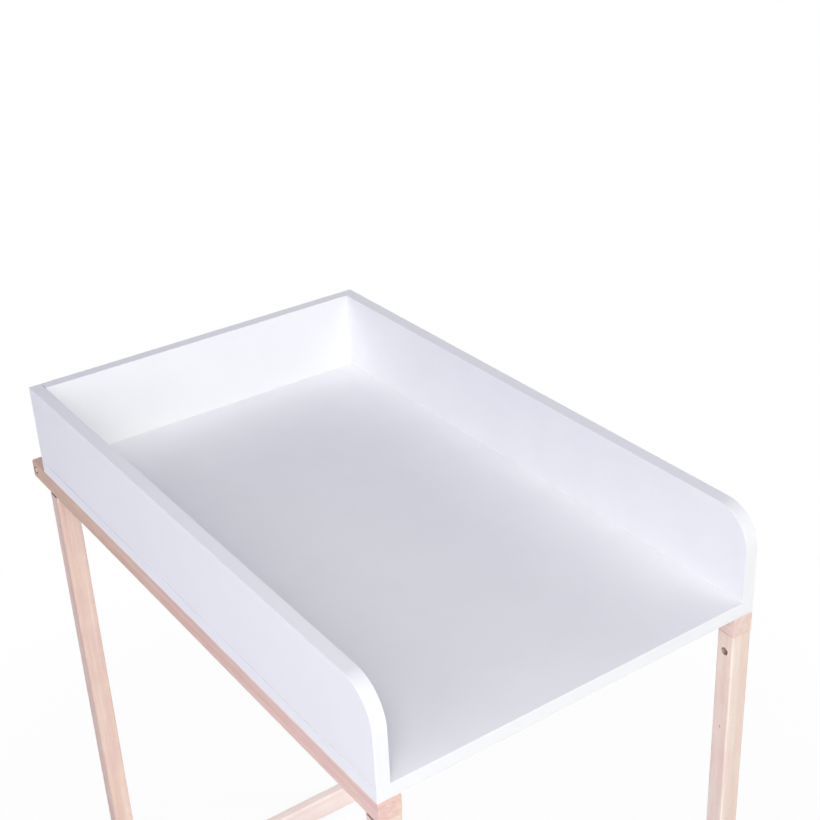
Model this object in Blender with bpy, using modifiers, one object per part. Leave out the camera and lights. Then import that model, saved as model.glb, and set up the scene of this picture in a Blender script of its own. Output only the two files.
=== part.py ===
"""A beech changing table with a white tray that tips up, and a baby bath that stands between its legs.

The origin is on the floor, in the middle of the footprint. The open end of the tray faces -Y.
Every length is in metres.
"""

import math

import bmesh
import bpy
from mathutils import Matrix, Vector

# Gaps and cuts
GAP = 0.0003
OVERRUN = 0.003

# Tray
TRAY_WIDTH = 0.545
TRAY_LENGTH = 0.880
BASE_THICKNESS = 0.019
WALL_THICKNESS = 0.018
WALL_HEIGHT = 0.120
WALL_REBATE = 0.001
WALL_CORNER_RADIUS = 0.050
BOARD_EDGE = 0.0015
ROUND_PROFILE_SHARE = 0.5

# Beech frame
RAIL_TOP_HEIGHT = 0.895
RAIL_WIDTH = 0.030
RAIL_HEIGHT = 0.027
RAIL_OVERHANG = 0.048
LEG_WIDTH = 0.030
LEG_DEPTH = 0.026
REAR_LEG_INSET = 0.0105
WOOD_EDGE = 0.0025
FRONT_BAR_SETBACK = 0.060
FRONT_BAR_DEPTH = 0.030
LOW_BAR_CLEARANCE = 0.026
LOW_BAR_HEIGHT = 0.045
LOW_BAR_DEPTH = 0.018

# Bolts, barrel nuts and dowels of the frame
BOLT_RADIUS = 0.003
BOLT_HEAD_RADIUS = 0.0065
BOLT_HEAD_HEIGHT = 0.003
BOLT_SOCKET_RADIUS = 0.002
BOLT_SOCKET_DEPTH = 0.002
BOLT_RECESS = 0.004
BOLT_REACH = 0.036
SIDE_BOLT_RECESS = 0.0032
SIDE_BOLT_HEAD_RADIUS = 0.0045
SIDE_BOLT_FROM_END = 0.0105
HOLE_CLEARANCE = 0.0004
BARREL_RADIUS = 0.0048
BARREL_LENGTH = 0.014
BARREL_DROP = 0.0265
SIDE_BARREL_IN = 0.026
DOWEL_RADIUS = 0.004
DOWEL_LENGTH = 0.034

# Glides under the legs
GLIDE_RADIUS = 0.011
GLIDE_HEIGHT = 0.005
GLIDE_EDGE = 0.0015
GLIDE_STEM_RADIUS = 0.003
GLIDE_STEM_LENGTH = 0.012

# Hinges between the tray and the rear crossbar
HINGE_FROM_SIDE = 0.1225
HINGE_LENGTH = 0.050
KNUCKLE_RADIUS = 0.0028
LEAF_THICKNESS = 0.0012
LEAF_WIDTH = 0.032
PIN_RADIUS = 0.0014
PIN_CLEARANCE = 0.0003
SCREW_ROW = 0.022
SCREW_SPACING = 0.030
HINGE_SCREW_RADIUS = 0.0015
HINGE_SCREW_LENGTH = 0.013
HINGE_SCREW_HEAD_RADIUS = 0.003
HINGE_SCREW_HEAD_HEIGHT = 0.0009

# Buffers that the opened tray lies on
BUFFER_FROM_RAIL = 0.0475
BUFFER_BEHIND_TRAY = 0.038
BUFFER_RADIUS = 0.006
BUFFER_STEM_RADIUS = 0.0025
BUFFER_STEM_LENGTH = 0.008

# Screws that hold the tray's walls to its base
WALL_SCREW_RADIUS = 0.0025
WALL_SCREW_LENGTH = 0.048
WALL_SCREW_HEAD_RADIUS = 0.0048
WALL_SCREW_HEAD_HEIGHT = 0.003
WALL_SCREW_RECESS = 0.0006
WALL_SCREW_FROM_END = 0.140
BACK_SCREW_FROM_SIDE = 0.0925

# Bath
BATH_LENGTH = 0.680
BATH_WIDTH = 0.440
BATH_HEIGHT = 0.215
RIM_DROP = 0.045
BATH_WALL = 0.0028
BATH_FRONT_SETBACK = 0.010
BATH_FOOT_HEIGHT = 0.009
BATH_FOOT_RADIUS = 0.014
BATH_FOOT_FROM_MIDDLE = 0.095
HEAD_FEET_FROM_FLOOR_END = 0.038
REAR_FEET_FROM_FLOOR_END = 0.108
BATH_FOOT_SINK = 0.0012
RIM_LIP = 0.014
RIM_WIDTH = 0.022
RIM_ROUND = 0.005
WALL_DRAFT = 0.030
FLOOR_ROUND = 0.030
BACKREST_LEAN = 0.070
FOOT_TAPER_SHARE = 0.24
OUTLINE_POWER = 2.3

# Drain of the bath
DRAIN_FROM_FLOOR_END = 0.088
DRAIN_RADIUS = 0.0165
DRAIN_BORE_RADIUS = 0.0125
DRAIN_FLANGE_RADIUS = 0.0225
DRAIN_FLANGE_HEIGHT = 0.0022
DRAIN_SLEEVE_LENGTH = 0.0075
PLUG_CLEARANCE = 0.0005
PLUG_TAPER = 0.0012
PLUG_HEAD_RADIUS = 0.0165
PLUG_HEAD_HEIGHT = 0.003
PLUG_DEPTH = 0.0065
PLUG_RING_RADIUS = 0.0075
PLUG_RING_WIRE = 0.0016
PLUG_RING_SINK = 0.0012

# Counts
ROUND_SIDES = 16
SMALL_SIDES = 12
BATH_SIDES = 56
CORNER_STEPS = 12
EDGE_STEPS = 2

# Places worked out from the sizes
HALF_TURN = math.pi
QUARTER_TURN = math.pi / 2
LENGTH = TRAY_LENGTH + RAIL_OVERHANG
FRONT = -LENGTH / 2
REAR = LENGTH / 2
TRAY_REAR = FRONT + TRAY_LENGTH
SIDE = TRAY_WIDTH / 2
RAIL_TOP = RAIL_TOP_HEIGHT - GAP
RAIL_BOTTOM = RAIL_TOP - RAIL_HEIGHT
LEG_TOP = RAIL_BOTTOM - GAP
LEG_BOTTOM = GLIDE_HEIGHT + GAP
LEG_INNER = SIDE - LEG_WIDTH
RAIL_INNER = SIDE - RAIL_WIDTH
FRONT_LEG_Y = FRONT + LEG_DEPTH / 2
REAR_LEG_Y = TRAY_REAR - REAR_LEG_INSET - LEG_DEPTH / 2
BASE_TOP = RAIL_TOP_HEIGHT + BASE_THICKNESS
REBATE_BOTTOM = BASE_TOP - WALL_REBATE
WALL_BOTTOM = REBATE_BOTTOM + GAP
WALL_TOP = BASE_TOP + WALL_HEIGHT
HINGE_OFFSET = KNUCKLE_RADIUS + GAP
HINGE_Y = TRAY_REAR + HINGE_OFFSET
HINGE_Z = RAIL_TOP + HINGE_OFFSET
BATH_FRONT = FRONT + BATH_FRONT_SETBACK
FLOOR_EDGE = RIM_WIDTH + WALL_DRAFT + FLOOR_ROUND
BATH_FLOOR_FRONT = BATH_FRONT + FLOOR_EDGE + BACKREST_LEAN
BATH_FLOOR_REAR = BATH_FRONT + BATH_LENGTH - FLOOR_EDGE
BATH_FLOOR = GAP + BATH_FOOT_HEIGHT + BATH_WALL

SIDES = {"left": -1, "right": 1}
UP = Vector((0, 0, 1))


def clear_scene():
    """Empties the scene, so that only the table is in it."""
    for obj in list(bpy.data.objects):
        bpy.data.objects.remove(obj, do_unlink=True)


def new_collection(name):
    """A collection linked to the scene."""
    collection = bpy.data.collections.new(name)
    bpy.context.scene.collection.children.link(collection)
    return collection


def new_material(name, colour, roughness, metallic=0):
    """A Principled material with a linear colour."""
    material = bpy.data.materials.new(name)
    material.use_nodes = True
    shader = material.node_tree.nodes["Principled BSDF"]
    shader.inputs["Base Color"].default_value = (*colour, 1)
    shader.inputs["Roughness"].default_value = roughness
    shader.inputs["Metallic"].default_value = metallic
    return material


clear_scene()
TABLE = new_collection("changing_table")
CUTTERS = new_collection("cutters")
BEECH = new_material("beech", (0.73, 0.54, 0.43), 0.5)
LACQUER = new_material("white_lacquer", (0.84, 0.84, 0.87), 0.35)
STEEL = new_material("zinc_plated_steel", (0.60, 0.60, 0.58), 0.35, 1)
BIRCH = new_material("birch_dowel", (0.68, 0.52, 0.36), 0.6)
GLIDE = new_material("grey_polyethylene", (0.35, 0.35, 0.35), 0.5)
RUBBER = new_material("grey_rubber", (0.20, 0.20, 0.21), 0.8)
BATH_PLASTIC = new_material("white_polypropylene", (0.83, 0.84, 0.86), 0.35)


def add_object(name, mesh, material=None):
    """Links a mesh as a piece of the table, or as a hidden cutter when it has no material."""
    obj = bpy.data.objects.new(name, mesh)
    if material is None:
        CUTTERS.objects.link(obj)
        obj.hide_render = True
        obj.display_type = "WIRE"
        return obj
    TABLE.objects.link(obj)
    mesh.materials.append(material)
    return obj


def mesh_from(shape, name):
    """Turns a bmesh into a mesh and frees it."""
    mesh = bpy.data.meshes.new(name)
    shape.to_mesh(mesh)
    shape.free()
    return mesh


def box_shape(low, high):
    """A box between two corners."""
    low = Vector(low)
    high = Vector(high)
    shape = bmesh.new()
    bmesh.ops.create_cube(shape, size=1)
    bmesh.ops.scale(shape, vec=high - low, verts=shape.verts)
    bmesh.ops.translate(shape, vec=(low + high) / 2, verts=shape.verts)
    return shape


def add_bevel(obj, width):
    """Rounds the sharp edges of a piece."""
    bevel = obj.modifiers.new("rounded edges", "BEVEL")
    bevel.width = width
    bevel.segments = EDGE_STEPS
    bevel.limit_method = "ANGLE"


def add_box(name, low, high, material, edge):
    """A board or a bar with rounded edges."""
    obj = add_object(name, mesh_from(box_shape(low, high), name), material)
    add_bevel(obj, edge)
    return obj


def combine(target, tool, operation):
    """Cuts a tool out of a piece, or joins it to the piece."""
    modifier = target.modifiers.new(tool.name, "BOOLEAN")
    modifier.operation = operation
    modifier.object = tool
    modifier.solver = "EXACT"


def pointing(direction):
    """The rotation that turns +Z to a direction."""
    return UP.rotation_difference(Vector(direction)).to_matrix().to_4x4()


def cylinder_shape(radius, length, start, direction, end_radius=None, sides=ROUND_SIDES):
    """A cylinder or a cone that starts at a point and runs along a direction."""
    shape = bmesh.new()
    bmesh.ops.create_cone(
        shape,
        cap_ends=True,
        segments=sides,
        radius1=radius,
        radius2=radius if end_radius is None else end_radius,
        depth=length,
    )
    bmesh.ops.translate(shape, vec=(0, 0, length / 2), verts=shape.verts)
    bmesh.ops.transform(
        shape, matrix=Matrix.Translation(start) @ pointing(direction), verts=shape.verts
    )
    return shape


def drill(target, radius, start, direction, depth, end_radius=None):
    """Drills a round hole into a piece. The drill starts just outside the face."""
    way = Vector(direction).normalized()
    start = Vector(start)
    name = target.name + "_drill"
    if end_radius is None:
        start = start - way * OVERRUN
        depth = depth + OVERRUN
    shape = cylinder_shape(radius, depth, start, way, end_radius)
    combine(target, add_object(name, mesh_from(shape, name)), "DIFFERENCE")


def cut_box(target, low, high):
    """Cuts a box out of a piece."""
    name = target.name + "_cut"
    combine(target, add_object(name, mesh_from(box_shape(low, high), name)), "DIFFERENCE")


def join_shape(target, shape):
    """Joins a shape to a piece."""
    name = target.name + "_join"
    combine(target, add_object(name, mesh_from(shape, name)), "UNION")


def turned(name, profile, place, direction, material, steps=ROUND_SIDES):
    """A turned piece. The profile runs from the axis at the top, down the outside, back to the axis."""
    shape = bmesh.new()
    points = [shape.verts.new((radius, 0, height)) for radius, height in profile]
    for first, second in zip(points, points[1:]):
        shape.edges.new((first, second))
    obj = add_object(name, mesh_from(shape, name), material)
    screw = obj.modifiers.new("turn", "SCREW")
    screw.axis = "Z"
    screw.angle = 2 * HALF_TURN
    screw.steps = steps
    screw.render_steps = steps
    screw.use_merge_vertices = True
    screw.merge_threshold = 0.00001
    screw.use_smooth_shade = False
    obj.location = place
    obj.rotation_euler = pointing(direction).to_euler()
    return obj


def bolt_profile(head_radius, length):
    """A flat headed furniture bolt with a socket. Its head's top is at zero."""
    return [
        (0, -BOLT_SOCKET_DEPTH),
        (BOLT_SOCKET_RADIUS, -BOLT_SOCKET_DEPTH),
        (BOLT_SOCKET_RADIUS, 0),
        (head_radius, 0),
        (head_radius, -BOLT_HEAD_HEIGHT),
        (BOLT_RADIUS, -BOLT_HEAD_HEIGHT),
        (BOLT_RADIUS, -length),
        (0, -length),
    ]


def screw_profile(head_radius, head_height, radius, length):
    """A countersunk screw with a short point. Its head's top is at zero."""
    return [
        (0, 0),
        (head_radius, 0),
        (radius, -head_height),
        (radius, -length + radius),
        (0, -length),
    ]


def add_barrel(name, centre, direction, bolt_direction):
    """A barrel nut with the cross bore that its bolt goes through."""
    way = Vector(direction)
    start = Vector(centre) - way * BARREL_LENGTH / 2
    shape = cylinder_shape(BARREL_RADIUS, BARREL_LENGTH, start, way)
    barrel = add_object(name, mesh_from(shape, name), STEEL)
    bore_start = Vector(centre) - Vector(bolt_direction) * BARREL_RADIUS
    drill(barrel, BOLT_RADIUS + HOLE_CLEARANCE, bore_start, bolt_direction, 2 * BARREL_RADIUS + OVERRUN)
    return barrel


def make_tray():
    """The base board, the two side walls and the back wall, which stand in a shallow rebate."""
    pieces = {}
    base = add_box(
        "tray_base", (-SIDE, FRONT, RAIL_TOP_HEIGHT), (SIDE, TRAY_REAR, BASE_TOP), LACQUER, BOARD_EDGE
    )
    pieces["base"] = base
    floor_side = SIDE - WALL_THICKNESS - GAP
    floor_rear = TRAY_REAR - WALL_THICKNESS - GAP
    for sign in SIDES.values():
        x_range = sorted((sign * floor_side, sign * (SIDE + OVERRUN)))
        cut_box(
            base,
            (x_range[0], FRONT - OVERRUN, REBATE_BOTTOM),
            (x_range[1], TRAY_REAR + OVERRUN, BASE_TOP + OVERRUN),
        )
    cut_box(
        base,
        (-SIDE, floor_rear, REBATE_BOTTOM),
        (SIDE, TRAY_REAR + OVERRUN, BASE_TOP + OVERRUN),
    )
    for side, sign in SIDES.items():
        outer = sign * SIDE
        inner = sign * (SIDE - WALL_THICKNESS)
        low = (min(outer, inner), FRONT, WALL_BOTTOM)
        high = (max(outer, inner), TRAY_REAR, WALL_TOP)
        shape = box_shape(low, high)
        corner = [
            edge
            for edge in shape.edges
            if all(vert.co.y < 0 and vert.co.z > (WALL_BOTTOM + WALL_TOP) / 2 for vert in edge.verts)
        ]
        bmesh.ops.bevel(
            shape,
            geom=corner,
            offset=WALL_CORNER_RADIUS,
            segments=CORNER_STEPS,
            profile=ROUND_PROFILE_SHARE,
            affect="EDGES",
        )
        name = "tray_side_" + side
        wall = add_object(name, mesh_from(shape, name), LACQUER)
        add_bevel(wall, BOARD_EDGE)
        pieces[side] = wall
    back_side = SIDE - WALL_THICKNESS - GAP
    pieces["back"] = add_box(
        "tray_back",
        (-back_side, TRAY_REAR - WALL_THICKNESS, WALL_BOTTOM),
        (back_side, TRAY_REAR, WALL_TOP),
        LACQUER,
        BOARD_EDGE,
    )
    return pieces


def wall_screw(name, base, wall, x, y):
    """A screw from the underside of the base into a wall, with its holes."""
    seat = Vector((x, y, RAIL_TOP_HEIGHT + WALL_SCREW_RECESS))
    profile = screw_profile(
        WALL_SCREW_HEAD_RADIUS, WALL_SCREW_HEAD_HEIGHT, WALL_SCREW_RADIUS, WALL_SCREW_LENGTH
    )
    turned(name, profile, seat, -UP, STEEL, SMALL_SIDES)
    hole = WALL_SCREW_RADIUS + HOLE_CLEARANCE
    head_hole = WALL_SCREW_HEAD_RADIUS + 2 * HOLE_CLEARANCE
    start = Vector((x, y, RAIL_TOP_HEIGHT))
    drill(base, hole, start, UP, BASE_THICKNESS + OVERRUN)
    drill(base, head_hole, start, UP, WALL_SCREW_RECESS + WALL_SCREW_HEAD_HEIGHT + HOLE_CLEARANCE)
    depth = WALL_SCREW_LENGTH + WALL_SCREW_RECESS - BASE_THICKNESS + WALL_REBATE + HOLE_CLEARANCE
    drill(wall, hole, Vector((x, y, WALL_BOTTOM)), UP, depth)


def make_tray_screws(tray):
    """Two screws into each wall of the tray."""
    wall_middle = SIDE - WALL_THICKNESS / 2
    for side, sign in SIDES.items():
        front_y = FRONT + WALL_SCREW_FROM_END
        rear_y = TRAY_REAR - WALL_SCREW_FROM_END
        for place, y in {"front": front_y, "rear": rear_y}.items():
            name = "tray_screw_" + place + "_" + side
            wall_screw(name, tray["base"], tray[side], sign * wall_middle, y)
        back_y = TRAY_REAR - WALL_THICKNESS / 2
        name = "tray_screw_back_" + side
        back_x = sign * (SIDE - BACK_SCREW_FROM_SIDE)
        wall_screw(name, tray["base"], tray["back"], back_x, back_y)


def make_frame_bars():
    """The rails, the legs and the crossbars."""
    bars = {}
    for side, sign in SIDES.items():
        x_range = sorted((sign * SIDE, sign * RAIL_INNER))
        bars["rail_" + side] = add_box(
            "rail_" + side,
            (x_range[0], FRONT, RAIL_BOTTOM),
            (x_range[1], REAR, RAIL_TOP),
            BEECH,
            WOOD_EDGE,
        )
        for end, y in {"front": FRONT_LEG_Y, "rear": REAR_LEG_Y}.items():
            x_range = sorted((sign * SIDE, sign * LEG_INNER))
            name = "leg_" + end + "_" + side
            bars[name] = add_box(
                name,
                (x_range[0], y - LEG_DEPTH / 2, LEG_BOTTOM),
                (x_range[1], y + LEG_DEPTH / 2, LEG_TOP),
                BEECH,
                WOOD_EDGE,
            )
    between_rails = RAIL_INNER - GAP
    between_legs = LEG_INNER - GAP
    bars["rear_bar"] = add_box(
        "rear_crossbar",
        (-between_rails, TRAY_REAR, RAIL_BOTTOM),
        (between_rails, REAR, RAIL_TOP),
        BEECH,
        WOOD_EDGE,
    )
    front_bar_y = FRONT + FRONT_BAR_SETBACK
    bars["front_bar"] = add_box(
        "front_crossbar",
        (-between_rails, front_bar_y, RAIL_BOTTOM),
        (between_rails, front_bar_y + FRONT_BAR_DEPTH, RAIL_TOP),
        BEECH,
        WOOD_EDGE,
    )
    bars["low_bar"] = add_box(
        "low_crossbar",
        (-between_legs, REAR_LEG_Y - LOW_BAR_DEPTH / 2, LOW_BAR_CLEARANCE),
        (between_legs, REAR_LEG_Y + LOW_BAR_DEPTH / 2, LOW_BAR_CLEARANCE + LOW_BAR_HEIGHT),
        BEECH,
        WOOD_EDGE,
    )
    return bars


def make_leg_bolts(bars):
    """A bolt down through the rail into each leg, gripped by a barrel nut across the leg."""
    hole = BOLT_RADIUS + HOLE_CLEARANCE
    length = RAIL_HEIGHT - BOLT_RECESS + GAP + BOLT_REACH
    barrel_z = RAIL_BOTTOM - BARREL_DROP
    for side, sign in SIDES.items():
        rail = bars["rail_" + side]
        x = sign * (LEG_INNER + LEG_WIDTH / 2)
        for end, y in {"front": FRONT_LEG_Y, "rear": REAR_LEG_Y}.items():
            name = end + "_" + side
            leg = bars["leg_" + name]
            head = Vector((x, y, RAIL_TOP - BOLT_RECESS + BOLT_HEAD_HEIGHT))
            turned("leg_bolt_" + name, bolt_profile(BOLT_HEAD_RADIUS, length), head, UP, STEEL)
            top = Vector((x, y, RAIL_TOP))
            drill(rail, hole, top, -UP, RAIL_HEIGHT + OVERRUN)
            drill(rail, BOLT_HEAD_RADIUS + HOLE_CLEARANCE, top, -UP, BOLT_RECESS + GAP)
            drill(leg, hole, Vector((x, y, LEG_TOP)), -UP, BOLT_REACH + BOLT_HEAD_HEIGHT)
            centre = Vector((x, y, barrel_z))
            outward = Vector((sign, 0, 0))
            mouth = Vector((sign * LEG_INNER, y, barrel_z))
            depth = LEG_WIDTH / 2 + BARREL_LENGTH / 2 + GAP
            drill(leg, BARREL_RADIUS + HOLE_CLEARANCE, mouth, outward, depth)
            add_barrel("barrel_nut_" + name, centre, outward, UP)


def make_rear_bar_bolts(bars):
    """A bolt through the end of each rail into the rear crossbar, gripped by a barrel nut from below."""
    hole = BOLT_RADIUS + HOLE_CLEARANCE
    bar = bars["rear_bar"]
    y = REAR - SIDE_BOLT_FROM_END
    z = RAIL_BOTTOM + RAIL_HEIGHT / 2
    length = RAIL_WIDTH - SIDE_BOLT_RECESS + SIDE_BARREL_IN + 2 * BARREL_RADIUS
    for side, sign in SIDES.items():
        rail = bars["rail_" + side]
        inward = Vector((-sign, 0, 0))
        face = Vector((sign * SIDE, y, z))
        head = face + inward * (SIDE_BOLT_RECESS - BOLT_HEAD_HEIGHT)
        turned("side_bolt_" + side, bolt_profile(SIDE_BOLT_HEAD_RADIUS, length), head, -inward, STEEL)
        drill(rail, hole, face, inward, RAIL_WIDTH + OVERRUN)
        drill(rail, SIDE_BOLT_HEAD_RADIUS + 2 * HOLE_CLEARANCE, face, inward, SIDE_BOLT_RECESS + GAP)
        bar_end = Vector((sign * (RAIL_INNER - GAP), y, z))
        drill(bar, hole, bar_end, inward, SIDE_BARREL_IN + 2 * BARREL_RADIUS + BOLT_HEAD_HEIGHT)
        barrel_x = sign * (RAIL_INNER - SIDE_BARREL_IN)
        depth = RAIL_HEIGHT / 2 + BARREL_LENGTH / 2 + GAP
        drill(bar, BARREL_RADIUS + HOLE_CLEARANCE, Vector((barrel_x, y, RAIL_BOTTOM)), UP, depth)
        add_barrel("side_barrel_nut_" + side, (barrel_x, y, z), UP, inward)


def add_dowel(name, holder, bar, joint, sign):
    """A dowel across the joint between a bar's end and the rail or leg that carries it."""
    outward = Vector((sign, 0, 0))
    start = Vector(joint) - outward * DOWEL_LENGTH / 2
    shape = cylinder_shape(DOWEL_RADIUS, DOWEL_LENGTH, start, outward, sides=SMALL_SIDES)
    add_object(name, mesh_from(shape, name), BIRCH)
    hole = DOWEL_RADIUS + HOLE_CLEARANCE
    depth = DOWEL_LENGTH / 2 + GAP
    drill(holder, hole, joint, outward, depth)
    drill(bar, hole, joint, -outward, depth)


def make_dowels(bars):
    """The dowels of the front crossbar and of the low crossbar."""
    front_y = FRONT + FRONT_BAR_SETBACK + FRONT_BAR_DEPTH / 2
    front_z = RAIL_BOTTOM + RAIL_HEIGHT / 2
    low_z = LOW_BAR_CLEARANCE + LOW_BAR_HEIGHT / 2
    for side, sign in SIDES.items():
        joint = Vector((sign * RAIL_INNER, front_y, front_z))
        add_dowel("front_dowel_" + side, bars["rail_" + side], bars["front_bar"], joint, sign)
        joint = Vector((sign * LEG_INNER, REAR_LEG_Y, low_z))
        add_dowel("low_dowel_" + side, bars["leg_rear_" + side], bars["low_bar"], joint, sign)


def make_glides(bars):
    """A turned glide under each leg, with its stem in the leg's end."""
    profile = [
        (0, GLIDE_HEIGHT + GLIDE_STEM_LENGTH),
        (GLIDE_STEM_RADIUS, GLIDE_HEIGHT + GLIDE_STEM_LENGTH),
        (GLIDE_STEM_RADIUS, GLIDE_HEIGHT),
        (GLIDE_RADIUS, GLIDE_HEIGHT),
        (GLIDE_RADIUS, GLIDE_EDGE),
        (GLIDE_RADIUS - GLIDE_EDGE, 0),
        (0, 0),
    ]
    for side, sign in SIDES.items():
        x = sign * (LEG_INNER + LEG_WIDTH / 2)
        for end, y in {"front": FRONT_LEG_Y, "rear": REAR_LEG_Y}.items():
            name = end + "_" + side
            turned("glide_" + name, profile, (x, y, 0), UP, GLIDE)
            depth = GLIDE_STEM_LENGTH + HOLE_CLEARANCE
            start = Vector((x, y, LEG_BOTTOM))
            drill(bars["leg_" + name], GLIDE_STEM_RADIUS + HOLE_CLEARANCE, start, UP, depth)


def knuckle(target, x_low, x_high):
    """Joins one knuckle, on the hinge's axis, to a leaf."""
    start = (x_low, HINGE_Y, HINGE_Z)
    join_shape(target, cylinder_shape(KNUCKLE_RADIUS, x_high - x_low, start, (1, 0, 0)))


def hinge_screw(name, leaf, board, place, direction):
    """A small screw through a leaf into the board behind it. The place is on the leaf's outer face."""
    way = Vector(direction)
    profile = screw_profile(
        HINGE_SCREW_HEAD_RADIUS, HINGE_SCREW_HEAD_HEIGHT, HINGE_SCREW_RADIUS, HINGE_SCREW_LENGTH
    )
    turned(name, profile, place, -way, STEEL, SMALL_SIDES)
    hole = HINGE_SCREW_RADIUS + HOLE_CLEARANCE
    drill(leaf, hole, place, way, LEAF_THICKNESS + OVERRUN)
    head = HINGE_SCREW_HEAD_RADIUS + HOLE_CLEARANCE
    drill(leaf, head + OVERRUN, place - way * OVERRUN, way, head + OVERRUN - GAP, GAP)
    behind = place + way * (LEAF_THICKNESS + GAP)
    drill(board, hole, behind, way, HINGE_SCREW_LENGTH - LEAF_THICKNESS)


def make_hinges(tray, bars):
    """Two butt hinges. Their axis lies behind the tray and above the rear crossbar."""
    leaf_near = KNUCKLE_RADIUS + GAP
    third = HINGE_LENGTH / 3
    for side, sign in SIDES.items():
        middle = sign * (SIDE - HINGE_FROM_SIDE)
        low = middle - HINGE_LENGTH / 2
        high = middle + HINGE_LENGTH / 2
        tab_low = low + third + GAP
        tab_high = high - third - GAP

        leaf_y = TRAY_REAR + GAP
        tray_leaf = add_object(
            "hinge_tray_leaf_" + side,
            mesh_from(
                box_shape(
                    (low, leaf_y, HINGE_Z + leaf_near),
                    (high, leaf_y + LEAF_THICKNESS, HINGE_Z + leaf_near + LEAF_WIDTH),
                ),
                "tray_leaf",
            ),
            STEEL,
        )
        join_shape(
            tray_leaf,
            box_shape(
                (tab_low, leaf_y, HINGE_Z),
                (tab_high, leaf_y + LEAF_THICKNESS, HINGE_Z + leaf_near + LEAF_THICKNESS),
            ),
        )
        knuckle(tray_leaf, tab_low, tab_high)

        leaf_z = RAIL_TOP + GAP
        frame_leaf = add_object(
            "hinge_frame_leaf_" + side,
            mesh_from(
                box_shape(
                    (low, HINGE_Y + leaf_near, leaf_z),
                    (high, HINGE_Y + leaf_near + LEAF_WIDTH, leaf_z + LEAF_THICKNESS),
                ),
                "frame_leaf",
            ),
            STEEL,
        )
        for start, end in ((low, tab_low - GAP), (tab_high + GAP, high)):
            join_shape(
                frame_leaf,
                box_shape(
                    (start, HINGE_Y, leaf_z),
                    (end, HINGE_Y + leaf_near + LEAF_THICKNESS, leaf_z + LEAF_THICKNESS),
                ),
            )
            knuckle(frame_leaf, start, end)

        axis_start = (low, HINGE_Y, HINGE_Z)
        along = (1, 0, 0)
        for leaf in (tray_leaf, frame_leaf):
            drill(leaf, PIN_RADIUS + PIN_CLEARANCE, axis_start, along, HINGE_LENGTH + OVERRUN)
        name = "hinge_pin_" + side
        pin = cylinder_shape(PIN_RADIUS, HINGE_LENGTH, axis_start, along, sides=SMALL_SIDES)
        add_object(name, mesh_from(pin, name), STEEL)

        for place, x in {"a": middle - SCREW_SPACING / 2, "b": middle + SCREW_SPACING / 2}.items():
            spot = Vector((x, leaf_y + LEAF_THICKNESS, HINGE_Z + leaf_near + SCREW_ROW))
            name = "hinge_tray_screw_" + side + "_" + place
            hinge_screw(name, tray_leaf, tray["back"], spot, (0, -1, 0))
            spot = Vector((x, HINGE_Y + leaf_near + SCREW_ROW, leaf_z + LEAF_THICKNESS))
            name = "hinge_frame_screw_" + side + "_" + place
            hinge_screw(name, frame_leaf, bars["rear_bar"], spot, (0, 0, -1))


def make_buffers(bars):
    """Two rubber buttons on the rear crossbar, as high as the opened tray lies above it."""
    height = 2 * HINGE_OFFSET - GAP
    profile = [
        (0, height),
        (BUFFER_RADIUS - BOARD_EDGE, height),
        (BUFFER_RADIUS, height - BOARD_EDGE),
        (BUFFER_RADIUS, GAP),
        (BUFFER_STEM_RADIUS, GAP),
        (BUFFER_STEM_RADIUS, -BUFFER_STEM_LENGTH),
        (0, -BUFFER_STEM_LENGTH),
    ]
    for side, sign in SIDES.items():
        x = sign * (RAIL_INNER - BUFFER_FROM_RAIL)
        place = Vector((x, TRAY_REAR + BUFFER_BEHIND_TRAY, RAIL_TOP))
        turned("buffer_" + side, profile, place, UP, RUBBER)
        depth = BUFFER_STEM_LENGTH + HOLE_CLEARANCE
        drill(bars["rear_bar"], BUFFER_STEM_RADIUS + HOLE_CLEARANCE, place, -UP, depth)


def bath_outline(side_inset, front_inset, rear_inset, height, drop):
    """One ring of the bath: a rounded outline that narrows, and may drop, towards the foot end."""
    half_width = BATH_WIDTH / 2 - side_inset
    y_low = BATH_FRONT + front_inset
    y_high = BATH_FRONT + BATH_LENGTH - rear_inset
    middle = (y_low + y_high) / 2
    half_length = (y_high - y_low) / 2
    points = []
    for step in range(BATH_SIDES):
        turn = 2 * HALF_TURN * step / BATH_SIDES
        across = math.copysign(abs(math.cos(turn)) ** (2 / OUTLINE_POWER), math.cos(turn))
        along = math.copysign(abs(math.sin(turn)) ** (2 / OUTLINE_POWER), math.sin(turn))
        y = middle + half_length * along
        towards_foot = (y - BATH_FRONT) / BATH_LENGTH
        square = towards_foot * towards_foot
        width = half_width * (1 - FOOT_TAPER_SHARE * square)
        points.append(Vector((width * across, y, height - drop * square)))
    return points


def bath_rings():
    """The inside of the bath from its floor up, then its rim out and down, as ring sizes."""
    top = GAP + BATH_HEIGHT
    wall_foot = RIM_WIDTH + WALL_DRAFT
    knee = wall_foot + FLOOR_ROUND / 3
    wall_top = RIM_WIDTH + RIM_ROUND / 4
    rim_inner = RIM_WIDTH - RIM_ROUND
    skin = BATH_WALL / 4
    return [
        (FLOOR_EDGE, FLOOR_EDGE + BACKREST_LEAN, FLOOR_EDGE, BATH_FLOOR, 0),
        (knee, knee + BACKREST_LEAN, knee, BATH_FLOOR + FLOOR_ROUND / 4, 0),
        (wall_foot, wall_foot + BACKREST_LEAN * 2 / 3, wall_foot, BATH_FLOOR + FLOOR_ROUND, 0),
        (wall_top, wall_top, wall_top, top - RIM_ROUND, RIM_DROP),
        (rim_inner, rim_inner, rim_inner, top, RIM_DROP),
        (BATH_WALL, BATH_WALL, BATH_WALL, top, RIM_DROP),
        (skin, skin, skin, top - BATH_WALL, RIM_DROP),
        (skin, skin, skin, top - RIM_LIP, RIM_DROP),
    ]


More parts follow.
